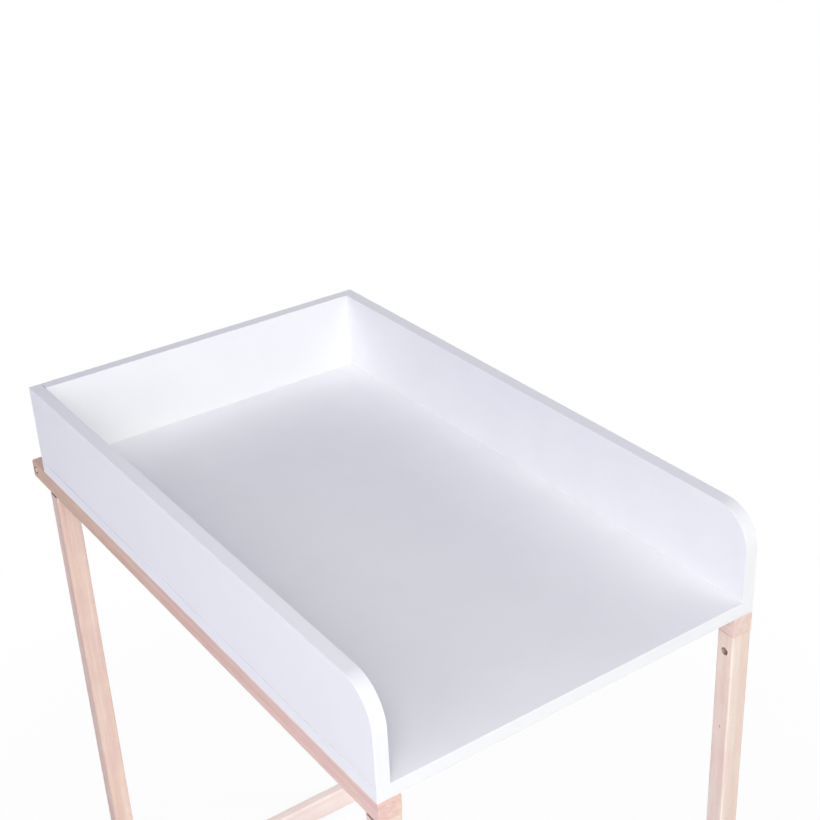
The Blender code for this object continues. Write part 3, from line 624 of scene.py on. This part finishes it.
# %% Screw holes
WALL_SCREW_RADIUS = 2.5 * MM
HOLE_SLACK = 0.4 * MM
SINK_DEPTH = 3.4 * MM
THROUGH_BOARD = 30 * MM
wall_screws = ["tray_screw_" + end + "_" + side for end in ("front", "rear", "back") for side in SIDES]
shaft_radius = WALL_SCREW_RADIUS + HOLE_SLACK
for name in wall_screws:
    seat = face(name, 2, 0)
    below = seat - UP * 2 * OVERRUN
    drill(base, shaft_radius, below, seat + UP * THROUGH_BOARD)
    drill(base, half(name) + 2 * HOLE_SLACK, below, seat + UP * SINK_DEPTH, 32)
    carrier = back_wall if "back" in name else walls[name.rsplit("_", 1)[1]]
    drill(carrier, shaft_radius, seat, face(name, 2, 1) + UP * HOLE_SLACK)
finish_piece(base, "tray", lacquer, "tray_base")
for side, wall in walls.items():
    finish_piece(wall, "tray", lacquer, "tray_side_" + side)
finish_piece(back_wall, "tray", lacquer, "tray_back")
print("cut", len(wall_screws), "screw holes")

# %% [markdown]
# ## The beech frame
# Rails, legs and crossbars are planed bars with long edges rounded over at about two and a half
# millimetres, so a highlight runs down each corner. The sawn ends are almost square, which keeps the joints
# tight, and so are the rails' lower edges, over the legs, and the rear crossbar's front edges, along the
# tray. On the outside a shallow slot in each leg's top draws a dark line under the rail, and painted shade on
# the slot's floor makes the line darker.

# %% Bars of the frame
ROUNDED_EDGE = 2.6 * MM
ROUNDED_STEPS = 6
TIGHT_EDGE = 0.8 * MM
SAWN_EDGE = 0.4 * MM
RELIEF_HEIGHT = 2.6 * MM
RELIEF_DEPTH = 8 * MM
RELIEF_INSET = 2.2 * MM
BOLT_SHANK = 3 * MM
SMALL_STEPS = 3
# The axis on whose low side a bar's edges stay tight.
TIGHT_SIDES = {"rail_left": 2, "rail_right": 2, "rear_crossbar": 1}
BAR_FINISHES = {
    "rail_left": beech_rail,
    "rail_right": beech_pale_rail,
    "leg_front_left": beech_leg,
    "leg_front_right": beech_leg_knot,
    "leg_rear_left": beech_rear_leg,
    "leg_rear_right": beech_rear_leg,
    "rear_crossbar": beech_bar_painted_light,
    "front_crossbar": beech_bar_painted_light,
    "low_crossbar": beech_bar_painted_light,
}


def planed_bar(name):
    """A bar with rounded long edges and almost square ends."""
    low, high = corners(name)
    run = max(range(3), key=lambda axis: high[axis] - low[axis])
    bar = block(name + "_bar", low, high)

    def is_long(edge):
        """True for an edge that runs along the bar."""
        first, second = (vertex.co[run] for vertex in edge.verts)
        return abs(first - second) > (high[run] - low[run]) / 2

    if name in TIGHT_SIDES:
        across = TIGHT_SIDES[name]
        for place, radius in ((low[across], TIGHT_EDGE), (high[across], ROUNDED_EDGE)):
            is_chosen = lambda edge: is_long(edge) and lies_at(edge, across, place)
            round_edges(bar, radius, ROUNDED_STEPS, is_chosen)
    else:
        round_edges(bar, ROUNDED_EDGE, ROUNDED_STEPS, is_long)
    for end in (low[run], high[run]):
        round_edges(bar, SAWN_EDGE, SMALL_STEPS, lambda edge: lies_at(edge, run, end))
    return bar


bars = {name: planed_bar(name) for name in BAR_FINISHES}
print("bars:", len(bars))

# %% [markdown]
# ## Joints of the frame
# A bolt comes down through each rail into the leg's end grain, and a barrel nut sits across it in a hole
# that opens on the leg's inner face, as on the front right leg in the picture. The holes take their places
# from the fittings' CAD boxes, with a little slack, as a drill bit is a size larger than the bolt.

# %% Bolt holes, barrel nut holes, dowel holes and glide holes
SEAT_DEPTH = 3.3 * MM
TIP_ROOM = 2 * MM
GLIDE_HOLE = 3.4 * MM
BUFFER_HOLE = 2.9 * MM
SCREW_PILOT = 1.9 * MM
crossbar = bars["rear_crossbar"]
for side, sign in SIDES.items():
    inner, outer = (0, 1) if sign > 0 else (1, 0)
    out = Vector((sign, 0, 0))
    rail = bars["rail_" + side]
    rail_box = corners("rail_" + side)
    for end in ("front", "rear"):
        corner = end + "_" + side
        leg = bars["leg_" + corner]
        leg_box = corners("leg_" + corner)
        bolt = "leg_bolt_" + corner
        tip = face(bolt, 2, 0) - UP * TIP_ROOM
        above = Vector((*tip.xy, rail_box[1].z + 2 * OVERRUN))
        for bar in (rail, leg):
            drill(bar, BOLT_SHANK + HOLE_SLACK, tip, above)
        drill(rail, half(bolt) + HOLE_SLACK, face(bolt, 2, 1) - UP * SEAT_DEPTH, above, 40)
        nut = "barrel_nut_" + corner
        mouth = Vector((leg_box[inner].x, *middle(nut).yz)) - out * 2 * OVERRUN
        drill(leg, half(nut, 2) + HOLE_SLACK, mouth, face(nut, 0, outer) + out * HOLE_SLACK, 40)
        outer_x = leg_box[outer].x
        near = Vector((outer_x + sign * OVERRUN, leg_box[0].y + RELIEF_INSET, leg_top - RELIEF_HEIGHT))
        far = Vector((outer_x - sign * RELIEF_DEPTH, leg_box[1].y - RELIEF_INSET, leg_top + OVERRUN))
        cut(leg, block("relief", near, far))
        stem_top = Vector((*tip.xy, corners("glide_" + corner)[1].z + HOLE_SLACK))
        drill(leg, GLIDE_HOLE, Vector((*tip.xy, 0)), stem_top)
    bolt = "side_bolt_" + side
    outside = Vector((rail_box[outer].x, *middle(bolt).yz)) + out * 2 * OVERRUN
    for bar in (rail, crossbar):
        drill(bar, BOLT_SHANK + HOLE_SLACK, outside, face(bolt, 0, inner) - out * TIP_ROOM)
    drill(rail, SIDE_COUNTERBORE, outside, face(bolt, 0, outer) - out * SEAT_DEPTH, 40)
    nut = "side_barrel_nut_" + side
    below = Vector((*middle(nut).xy, rail_box[0].z - 2 * OVERRUN))
    drill(crossbar, half(nut) + HOLE_SLACK, below, face(nut, 2, 1) + UP * HOLE_SLACK, 40)
    room = Vector((HOLE_SLACK, 0, 0))
    for dowel, *carriers in (
        ("front_dowel_" + side, "rail_" + side, "front_crossbar"),
        ("low_dowel_" + side, "leg_rear_" + side, "low_crossbar"),
    ):
        for name in carriers:
            radius = half(dowel, 2) + HOLE_SLACK
            drill(bars[name], radius, face(dowel, 0, 0) - room, face(dowel, 0, 1) + room)
    for node, radius, sides in (
        ("buffer_" + side, BUFFER_HOLE, 24),
        ("hinge_frame_screw_" + side + "_a", SCREW_PILOT, 16),
        ("hinge_frame_screw_" + side + "_b", SCREW_PILOT, 16),
    ):
        drill(crossbar, radius, face(node, 2, 0) - UP * HOLE_SLACK, face(node, 2, 1), sides)
for name, bar in bars.items():
    finish_piece(bar, "frame", BAR_FINISHES[name], name)
print("holes cut in", len(bars), "bars")

# %% [markdown]
# ## Bolts
# A furniture bolt has a flat round head with a hexagon socket for a key. The head starts as a short rod whose
# edge is eased, the shank is joined on, and a six-sided rod cuts the socket. The thread runs inside the
# wood, where nobody sees it, so it is left plain. One bolt is modelled at the origin and copied.

# %% Bolts
SOCKET_RADIUS = 2.2 * MM
SOCKET_SHARE = 0.35
SIDE_HEAD = 3.4 * MM
SOCKET_DEPTH = 2 * MM
HEAD_HEIGHT = 3 * MM
HEAD_EDGE = 0.5 * MM


def make_bolt(name, head_radius, length):
    """A bolt at the origin: the top of its head at zero and its shank down."""
    bolt = rod(name, head_radius, -UP * HEAD_HEIGHT, Vector(), 40)
    round_edges(bolt, HEAD_EDGE, SMALL_STEPS)
    cut(bolt, rod("shank", BOLT_SHANK, -UP * length, -UP * HEAD_HEIGHT / 2, 24), "UNION")
    socket = min(SOCKET_RADIUS, SOCKET_SHARE * head_radius)
    drill(bolt, socket, -UP * SOCKET_DEPTH, UP * OVERRUN, 6)
    return bolt


def fit_copy(pattern, name, body, node, direction=UP):
    """Puts a copy of a steel fitting in its CAD node's place, with its head towards a direction."""
    activate(pattern)
    bpy.ops.object.duplicate(linked=False)
    piece = bpy.context.active_object
    piece.name = name
    axis = max(range(3), key=lambda index: abs(direction[index]))
    piece.location = face(node, axis, int(direction[axis] > 0))
    piece.rotation_euler = UP.rotation_difference(direction).to_euler()
    settle(piece)
    finish_piece(piece, body, zinc, node)


leg_bolt = make_bolt("bolt pattern", half("leg_bolt_front_left"), 2 * half("leg_bolt_front_left", 2))
side_bolt = make_bolt("side bolt pattern", SIDE_HEAD, 2 * half("side_bolt_left"))
for side, sign in SIDES.items():
    for end in ("front", "rear"):
        corner = end + "_" + side
        fit_copy(leg_bolt, "furniture_bolt_" + corner, "frame", "leg_bolt_" + corner)
    out = Vector((sign, 0, 0))
    fit_copy(side_bolt, "furniture_bolt_side_" + side, "frame", "side_bolt_" + side, out)
for pattern in (leg_bolt, side_bolt):
    bpy.data.objects.remove(pattern, do_unlink=True)
print("made six bolts")

# %% [markdown]
# ## Screws
# The tray's screws and the hinges' screws are countersunk, with a cross recess. The head is a cone, the
# shank a thinner rod with a point, and the recess is two crossed thin blocks cut out of the head.

# %% Screws
WALL_SCREW_HEAD = 3 * MM
HINGE_SCREW_HEAD = 0.9 * MM
HINGE_SCREW_RADIUS = 1.5 * MM
SCREW_POINT = 0.2 * MM
RECESS_SHARES = (0.55, 0.14, 0.7)


def make_screw(name, node, head_height, shank):
    """A countersunk screw at the origin: the top of its head at zero and its point down."""
    head_radius = half(node)
    length = 2 * half(node, 2)
    screw = cone(name, shank, head_radius, -UP * head_height, Vector(), 32)
    tip = -UP * (length - shank)
    cut(screw, rod("shank", shank, tip, -UP * head_height / 2, 20), "UNION")
    point_top = tip + UP * SCREW_POINT / 2
    cut(screw, cone("point", SCREW_POINT, shank, -UP * length, point_top, 20), "UNION")
    reach, width = (share * head_radius for share in RECESS_SHARES[:2])
    depth = RECESS_SHARES[2] * head_height
    for x, y in ((reach, width), (width, reach)):
        cut(screw, block("recess", Vector((-x, -y, -depth)), Vector((x, y, OVERRUN))))
    return screw


wall_screw = make_screw("wall screw", "tray_screw_front_left", WALL_SCREW_HEAD, WALL_SCREW_RADIUS)
for node in wall_screws:
    fit_copy(wall_screw, node.replace("tray_screw", "wall_screw"), "tray", node, -UP)
screw_node = "hinge_frame_screw_left_a"
hinge_screw = make_screw("hinge screw", screw_node, HINGE_SCREW_HEAD, HINGE_SCREW_RADIUS)
for side in SIDES:
    for mark in (side + "_a", side + "_b"):
        fit_copy(hinge_screw, "crossbar_screw_" + mark, "frame", "hinge_frame_screw_" + mark)
        back = Vector((0, 1, 0))
        fit_copy(hinge_screw, "back_wall_screw_" + mark, "tray", "hinge_tray_screw_" + mark, back)
for pattern in (wall_screw, hinge_screw):
    bpy.data.objects.remove(pattern, do_unlink=True)
print("made", len(wall_screws) + 8, "screws")

# %% [markdown]
# ## Hinges, pins, barrel nuts and dowels
# These small fittings have the right shape in the CAD frame already, bores and all. Their meshes are loose
# triangles, so each is copied, its doubles are merged, its sharp edges get a tiny break, as stamped and
# plated steel has, and the copy takes the node's place.

# %% Hinges, pins, barrel nuts and dowels
STAMPED_EDGE = 0.2 * MM
TURNED_EDGE = 0.3 * MM
DOWEL_EDGE = 0.8 * MM
FLAT = math.radians(0.5)
CREASE = math.radians(50)


def refined(node, name, edge):
    """A copy of a CAD node with its doubles merged, flat faces made whole and its edges broken."""
    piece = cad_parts[node].copy()
    piece.data = piece.data.copy()
    piece.name = name
    bpy.context.scene.collection.objects.link(piece)
    piece.parent = None
    piece.matrix_world = Matrix()
    piece.hide_set(False)
    activate(piece)
    bpy.ops.object.mode_set(mode="EDIT")
    select_whole()
    bpy.ops.mesh.remove_doubles(threshold=NEARLY / 10)
    bpy.ops.mesh.dissolve_limited(angle_limit=FLAT)
    bpy.ops.object.mode_set(mode="OBJECT")
    with_modifier(piece, "BEVEL", width=edge, segments=2, limit_method="ANGLE", angle_limit=CREASE)
    return piece


for side in SIDES:
    for body, node, name, edge in (
        ("tray", "hinge_tray_leaf_" + side, "tray_hinge_leaf_" + side, STAMPED_EDGE),
        ("frame", "hinge_frame_leaf_" + side, "crossbar_hinge_leaf_" + side, STAMPED_EDGE),
        ("frame", "hinge_pin_" + side, "pin_of_hinge_" + side, STAMPED_EDGE),
        ("frame", "side_barrel_nut_" + side, "cross_nut_side_" + side, TURNED_EDGE),
        ("frame", "barrel_nut_front_" + side, "cross_nut_front_" + side, TURNED_EDGE),
        ("frame", "barrel_nut_rear_" + side, "cross_nut_rear_" + side, TURNED_EDGE),
    ):
        finish_piece(refined(node, name, edge), body, zinc, node)
    for dowel in ("front_dowel_" + side, "low_dowel_" + side):
        finish_piece(refined(dowel, "birch_" + dowel, DOWEL_EDGE), "frame", birch, dowel)
print("refined hinges, pins, nuts and dowels")

# %% [markdown]
# ## Glides and buffers
# A glide is a turned plastic foot with a stem that is tapped into the leg's end. A buffer is a rubber button
# on the rear crossbar, and the tray comes to lie on it when it is tipped up. Both are rods with rounded
# edges and a thinner rod joined on for the stem.

# %% Glides and buffers
GLIDE_STEM = 3 * MM
BUFFER_STEM = 2.5 * MM
GLIDE_HEIGHT = 5 * MM
GLIDE_EDGE = 1.4 * MM
BUFFER_EDGE = 1.3 * MM
BUFFER_GAP = 0.3 * MM
STEM_START = 3 * MM
for side in SIDES:
    for corner in ("front_" + side, "rear_" + side):
        node = "glide_" + corner
        foot = face(node, 2, 0)
        glide = rod("floor_glide_" + corner, half(node), foot, foot + UP * GLIDE_HEIGHT, 56)
        round_edges(glide, GLIDE_EDGE, EASED_STEPS)
        stem = rod("stem", GLIDE_STEM, foot + UP * STEM_START, face(node, 2, 1), 24)
        cut(glide, stem, "UNION")
        finish_piece(glide, "frame", glide_plastic, node)
    node = "buffer_" + side
    top = face(node, 2, 1)
    skirt = Vector((*top.xy, corners("rear_crossbar")[1].z + BUFFER_GAP))
    button = rod("rubber_buffer_" + side, half(node), skirt, top, 48)
    round_edges(button, BUFFER_EDGE, EASED_STEPS)
    cut(button, rod("stem", BUFFER_STEM, face(node, 2, 0), top - UP * STEM_START, 24), "UNION")
    finish_piece(button, "frame", rubber, node)
print("made four glides and two buffers")

# %% [markdown]
# ## The bath
# A moulded bath is a shell of even thickness: rounded in plan, wider at the head, lower at the foot, with a
# sloping backrest and a rim that turns out and down as a grip. It starts as a circle with many points, which
# is extruded ring by ring, from the floor up the wall and over the rim. Each ring is laid on the bath's
# outline at its own inset and height. A subdivision surface rounds it, and Solidify gives the wall.

# %% Shell of the bath
BATH_POINTS = 56
BATH_LENGTH = 680 * MM
BATH_WIDTH = 440 * MM
BATH_HEIGHT = 215 * MM
RIM_DROP = 45 * MM
SHELL = 2.8 * MM
RIM_WIDTH = 22 * MM
RIM_ROUND = 5 * MM
RIM_LIP = 14 * MM
WALL_DRAFT = 30 * MM
FLOOR_ROUND = 30 * MM
BACKREST_LEAN = 70 * MM
FOOT_TAPER_SHARE = 0.24
FLOOR_FAN = 35 * MM
MIDDLE_INSET = 38 * MM
MIDDLE_SHARE = 0.55
RIM_STEP = 2 * MM
OUTLINE_POWER = 2.3
FLANGE_HEIGHT = 2.5 * MM
tub_low = corners("bath_tub")[0]
head_y = tub_low.y - SHELL / 4
floor_z = corners("bath_drain_ring")[1].z - FLANGE_HEIGHT
rim_z = tub_low.z + BATH_HEIGHT


def outline_point(step, inset, lean, height, drop):
    """One point of a ring round the bath. The lean is added to the inset at the head."""
    around = 2 * math.pi * step / BATH_POINTS
    half_width = BATH_WIDTH / 2 - inset
    y_low = head_y + inset + lean
    y_high = head_y + BATH_LENGTH - inset
    across = math.copysign(abs(math.cos(around)) ** (2 / OUTLINE_POWER), math.cos(around))
    along = math.copysign(abs(math.sin(around)) ** (2 / OUTLINE_POWER), math.sin(around))
    y = (y_low + y_high) / 2 + (y_high - y_low) / 2 * along
    foot_share = ((y - head_y) / BATH_LENGTH) ** 2
    return Vector((half_width * (1 - FOOT_TAPER_SHARE * foot_share) * across, y, height - drop * foot_share))


wall_foot = RIM_WIDTH + WALL_DRAFT
grip = RIM_WIDTH - RIM_ROUND
# Of each ring: its inset, its lean at the head, its height, and how much lower it lies at the foot.
rings = [
    (wall_foot + FLOOR_ROUND, BACKREST_LEAN, floor_z, 0),
    (wall_foot + FLOOR_ROUND / 3, BACKREST_LEAN, floor_z + FLOOR_ROUND / 5, 0),
    (wall_foot, BACKREST_LEAN * 2 / 3, floor_z + FLOOR_ROUND, 0),
    (MIDDLE_INSET, MIDDLE_INSET / 2, rim_z * MIDDLE_SHARE, RIM_DROP / 2),
    (RIM_WIDTH + RIM_STEP, 0, rim_z - 2 * RIM_ROUND, RIM_DROP),
    (RIM_WIDTH, 0, rim_z - RIM_ROUND, RIM_DROP),
    (grip, 0, rim_z - RIM_STEP / 5, RIM_DROP),
    (grip / 2, 0, rim_z, RIM_DROP),
    (SHELL, 0, rim_z - RIM_STEP * 0.3, RIM_DROP),
    (SHELL / 2, 0, rim_z - 2 * SHELL, RIM_DROP),
    (SHELL / 2, 0, rim_z - RIM_LIP, RIM_DROP),
]


def lay_selected_ring(piece, ring):
    """Lays the selected points on a ring of the outline. Their order round the bath stays."""
    shape = bmesh.from_edit_mesh(piece.data)
    chosen = [vertex for vertex in shape.verts if vertex.select]
    chosen.sort(key=lambda vertex: math.atan2(vertex.co.y - ring_centre, vertex.co.x) % (2 * math.pi))
    for step, vertex in enumerate(chosen):
        vertex.co = outline_point(step, *ring)
    bmesh.update_edit_mesh(piece.data)


ring_centre = head_y + BATH_LENGTH / 2
circle = {"vertices": BATH_POINTS, "radius": BATH_WIDTH / 4, "fill_type": "NGON"}
ring_place = (0, ring_centre, floor_z)
tub = start_piece("moulded_bath_tub", bpy.ops.mesh.primitive_circle_add, location=ring_place, **circle)
bpy.ops.object.mode_set(mode="EDIT")
bpy.ops.mesh.select_mode(type="VERT")
select_whole()
lay_selected_ring(tub, rings[0])
select_whole()
bpy.ops.mesh.delete(type="ONLY_FACE")
select_whole()
for ring in rings[1:]:
    bpy.ops.mesh.extrude_edges_move()
    lay_selected_ring(tub, ring)
bpy.ops.mesh.select_all(action="DESELECT")
shape = bmesh.from_edit_mesh(tub.data)
for vertex in shape.verts:
    vertex.select_set(abs(vertex.co.z - floor_z) < NEARLY)
shape.select_flush_mode()
bmesh.update_edit_mesh(tub.data)
for share in (0.6, 0.3):
    bpy.ops.mesh.extrude_edges_move()
    centre = (0, ring_centre - FLOOR_FAN, floor_z)
    bpy.ops.transform.resize(value=(share, share, 1), center_override=centre)
bpy.ops.mesh.edge_face_add()
select_whole()
bpy.ops.mesh.normals_make_consistent(inside=True)
bpy.ops.object.mode_set(mode="OBJECT")
with_modifier(tub, "SUBSURF", levels=2, render_levels=2)
print("bath shell:", len(tub.data.polygons), "faces")

# %% [markdown]
# ## Feet, drain hole and wall of the bath
# The shell so far is a skin without thickness. Solidify gives it an even wall towards the outside, as a
# moulder would, and closes it along the rim. The four feet are short rods under the floor, and the drain
# hole is cut where the drain ring sits.

# %% Wall, feet and drain hole
FOOT_RADIUS = 14 * MM
FOOT_SPREAD = 95 * MM
HEAD_FEET_FROM_HEAD = 190 * MM
REAR_FEET_FROM_HEAD = 490 * MM
FOOT_EDGE = 2 * MM
FOOT_STEPS = 4
DRAIN_HOLE = 16.9 * MM
DRAIN_DEPTH = 8 * MM
with_modifier(tub, "SOLIDIFY", thickness=SHELL, offset=-1, use_even_offset=True, use_rim=True)
for sign in SIDES.values():
    for from_head in (HEAD_FEET_FROM_HEAD, REAR_FEET_FROM_HEAD):
        bottom = Vector((sign * FOOT_SPREAD, head_y + from_head, tub_low.z))
        foot = rod("foot", FOOT_RADIUS, bottom, Vector((*bottom.xy, floor_z - SHELL / 2)), 48)
        round_edges(foot, FOOT_EDGE, FOOT_STEPS, lambda edge: lies_at(edge, 2, tub_low.z))
        cut(tub, foot, "UNION")
drain_low, drain_high = corners("bath_drain_ring")
hole_start = drain_axis + UP * (floor_z - DRAIN_DEPTH)
drill(tub, DRAIN_HOLE, hole_start, drain_axis + UP * (floor_z + DRAIN_DEPTH / 2), 64)
finish_piece(tub, "bath", polypropylene, "bath_tub")
print("bath:", len(tub.data.polygons), "faces")

# %% [markdown]
# ## Drain ring and plug
# The drain ring is turned from steel: a thin dished flange that lies on the floor, and a sleeve that goes
# down through the hole. Turning is what Spin does, so the ring's section is drawn as a few points and spun
# round its axis. The rubber plug is made the same way, and a torus is joined on top as the ring to pull.

# %% Drain ring and plug
SPIN_STEPS = 64
DOUBLES = 0.005 * MM
PLUG_GAP = 0.3


def turn_profile(name, profile, axis):
    """Spins a section, given as radius and height in millimetres, round a vertical axis."""
    piece = start_piece(name, bpy.ops.mesh.primitive_plane_add, size=MM, location=axis)
    bpy.ops.object.mode_set(mode="EDIT")
    select_whole()
    bpy.ops.mesh.delete(type="VERT")
    shape = bmesh.from_edit_mesh(piece.data)
    points = [shape.verts.new(axis + Vector((radius, 0, height)) * MM) for radius, height in profile]
    for first, second in zip(points, points[1:]):
        shape.edges.new((first, second))
    bmesh.update_edit_mesh(piece.data)
    select_whole()
    bpy.ops.mesh.spin(steps=SPIN_STEPS, angle=2 * math.pi, center=axis, axis=(0, 0, 1))
    select_whole()
    bpy.ops.mesh.remove_doubles(threshold=DOUBLES)
    bpy.ops.mesh.normals_make_consistent(inside=False)
    bpy.ops.object.mode_set(mode="OBJECT")
    return piece


flange = half("bath_drain_ring") / MM
foot = (drain_low.z - floor_z) / MM
top = (drain_high.z - floor_z) / MM
# Points of a section: a radius and a height, in millimetres, from the top down and up again.
ring_profile = [(12.5, top - 0.9), (13.2, top - 0.3), (14.4, top), (flange - 2.4, top - 0.3)]
ring_profile += [(flange - 0.7, top - 1), (flange, top - 1.7), (flange - 0.3, 0.3), (16.5, 0.3)]
ring_profile += [(16.5, foot + 0.3), (16.2, foot), (12.8, foot), (12.5, foot + 0.3), (12.5, top - 0.9)]
drain = turn_profile("bath_drain_fitting", ring_profile, drain_axis + UP * floor_z)
finish_piece(drain, "bath", stainless, "bath_drain_ring")

plug_low, plug_high = corners("bath_plug")
foot = (plug_low.z - floor_z) / MM
seat = top + PLUG_GAP
plug_profile = [(0, seat + 3), (13.6, seat + 3), (15.4, seat + 2.6), (16.3, seat + 1.7)]
plug_profile += [(16.5, seat + 0.6), (16.1, seat), (12, seat), (11.8, seat - 1)]
plug_profile += [(10.9, foot + 0.4), (10.3, foot), (0, foot)]
plug = turn_profile("bath_plug_of_rubber", plug_profile, drain_axis + UP * floor_z)
PULL_WIRE = 1.6 * MM
PULL_RADIUS = 7.5 * MM
pull_centre = Vector((*drain_axis.xy, plug_high.z - PULL_RADIUS - PULL_WIRE))
pull = start_piece(
    "pull",
    bpy.ops.mesh.primitive_torus_add,
    major_segments=48,
    minor_segments=16,
    major_radius=PULL_RADIUS,
    minor_radius=PULL_WIRE,
    location=pull_centre,
    rotation=(math.pi / 2, 0, 0),
)
cut(plug, pull, "UNION")
finish_piece(plug, "plug", rubber, "bath_plug")
print("drain fitting and plug made")

# %% [markdown]
# ## Floor and backdrop
# The picture is cut out on plain white. The floor is a large white sheet that keeps the table's shadow.
# The camera sees it mostly as an even glow of strength one, and for the rest as a lit, shaded surface. Away
# from the table the glow takes over, so the floor has no horizon. The floor sends no more light to the table
# than white paper does, because only rays that the camera, a mirror or a glass sends see the glow.

# %% Floor
FLOOR_REACH = 14
FLOOR_DROP = 0.2 * MM
SHADOW_REACH = 0.4
FADE_REACH = 1.6
SHADOW_WHITENESS = 0.93
PAPER_GRAIN_SCALE = 30


def seen_rays(add):
    """One for the rays that the camera, a mirror or a glass sends, and zero for all others."""
    rays = add("LightPath").outputs
    direct = [rays["Is Camera Ray"], rays["Is Glossy Ray"]]
    seen = add("Math", direct, operation="MAXIMUM")
    return add("Math", [seen, rays["Is Transmission Ray"]], operation="MAXIMUM")


sheet = {"size": 2 * FLOOR_REACH, "location": (0, 0, -FLOOR_DROP)}
floor = start_piece("studio_floor", bpy.ops.mesh.primitive_plane_add, **sheet)
floor_paper, add, shader, place = new_finish("white_studio_paper", Roughness=0.9)
fibre = add("TexNoise", {"Vector": place, "Scale": PAPER_GRAIN_SCALE, "Detail": 2})
paper = add("Mix", [fibre, "#F4F4F4", "#FAFAFA"], data_type="RGBA")
feed(shader, {"Base Color": paper})
glow = add("Emission", {"Color": "#FFFFFF", "Strength": 1.0})
away = add("VectorMath", [place], operation="LENGTH")
fade = {"Value": away, "From Min": SHADOW_REACH, "From Max": FADE_REACH, "To Min": SHADOW_WHITENESS}
whiteness = add("MapRange", fade, interpolation_type="SMOOTHSTEP")
share = add("Math", [seen_rays(add), whiteness], operation="MULTIPLY")
blend = add("MixShader", [share, shader, glow])
feed(floor_paper.node_tree.nodes["Material Output"], {"Surface": blend})
floor.data.materials.append(floor_paper)
print("floor", FLOOR_REACH, "m each way")

# %% [markdown]
# ## Light
# The picture has broad soft light from the front and the left, and no hard shadow. The tray's floor is a
# cool light grey that is darkest in the lee of the left wall. A high lamp at the front left, one at the left
# and one far in front do this. A low one on the right shines over the right wall onto the inside of the left
# wall, which throws some of it back onto the floor. A weak lamp behind keeps the back from going dark, a
# narrow one lights the low crossbar, and a faint bluish sky fills what is left.

# %% Sky and lamps
SKY_COLOUR = (0.61, 0.61, 1, 1)
SKY_STRENGTH = 0.25
world = bpy.data.worlds.new("studio")
bpy.context.scene.world = world
world.use_nodes = True
add = partial(add_node, world.node_tree)
sky = world.node_tree.nodes["Background"]
feed(sky, {"Color": SKY_COLOUR, "Strength": SKY_STRENGTH})
white_sky = add("Background", {"Color": "#FFFFFF", "Strength": 1.0})
blend = add("MixShader", [seen_rays(add), sky, white_sky])
feed(world.node_tree.nodes["World Output"], {"Surface": blend})

TRAY_MIDDLE = Vector((0, -0.03, 0.95))
SPOT_POWER = 75
SPOT_ANGLE = math.radians(26)
SPOT_SOFTNESS = 0.25


def hang(data, place, aim):
    """Hangs a lamp at a place and turns it to the point that it lights."""
    light = bpy.data.objects.new(data.name, data)
    light.location = place
    light.rotation_euler = (Vector(place) - aim).to_track_quat("Z", "Y").to_euler()
    light.visible_camera = False
    bpy.context.scene.collection.objects.link(light)


def softbox(name, place, size, power, colour=(1, 1, 1)):
    """A square soft lamp that faces the tray."""
    data = bpy.data.lights.new(name, "AREA")
    data.shape = "SQUARE"
    data.size = size
    data.energy = power
    data.color = colour
    hang(data, place, TRAY_MIDDLE)


softbox("high_front_left_softbox", (-1.6, -2.7, 3.45), 2.0, 94, (1, 1, 0.89))
softbox("left_softbox", (-2.4, -1.0, 2.0), 1.5, 24, (0.91, 0.91, 1))
softbox("far_front_softbox", (0.2, -4.0, 1.5), 2.0, 29, (0.95, 1, 0.78))
softbox("right_softbox", (2.7, -0.6, 1.7), 1.6, 14)
softbox("back_fill", (1.9, 2.6, 1.3), 1.8, 12, (1, 1, 0.86))
crossbar_spot = bpy.data.lights.new("crossbar_spot", "SPOT")
crossbar_spot.energy = SPOT_POWER
crossbar_spot.spot_size = SPOT_ANGLE
crossbar_spot.spot_blend = 0.7
crossbar_spot.shadow_soft_size = SPOT_SOFTNESS
hang(crossbar_spot, (1.6, -0.5, 0.9), middle("low_crossbar"))
print("five soft lamps, a spot and the sky")

# %% Use the standard view transform
bpy.context.scene.view_settings.view_transform = "Standard"
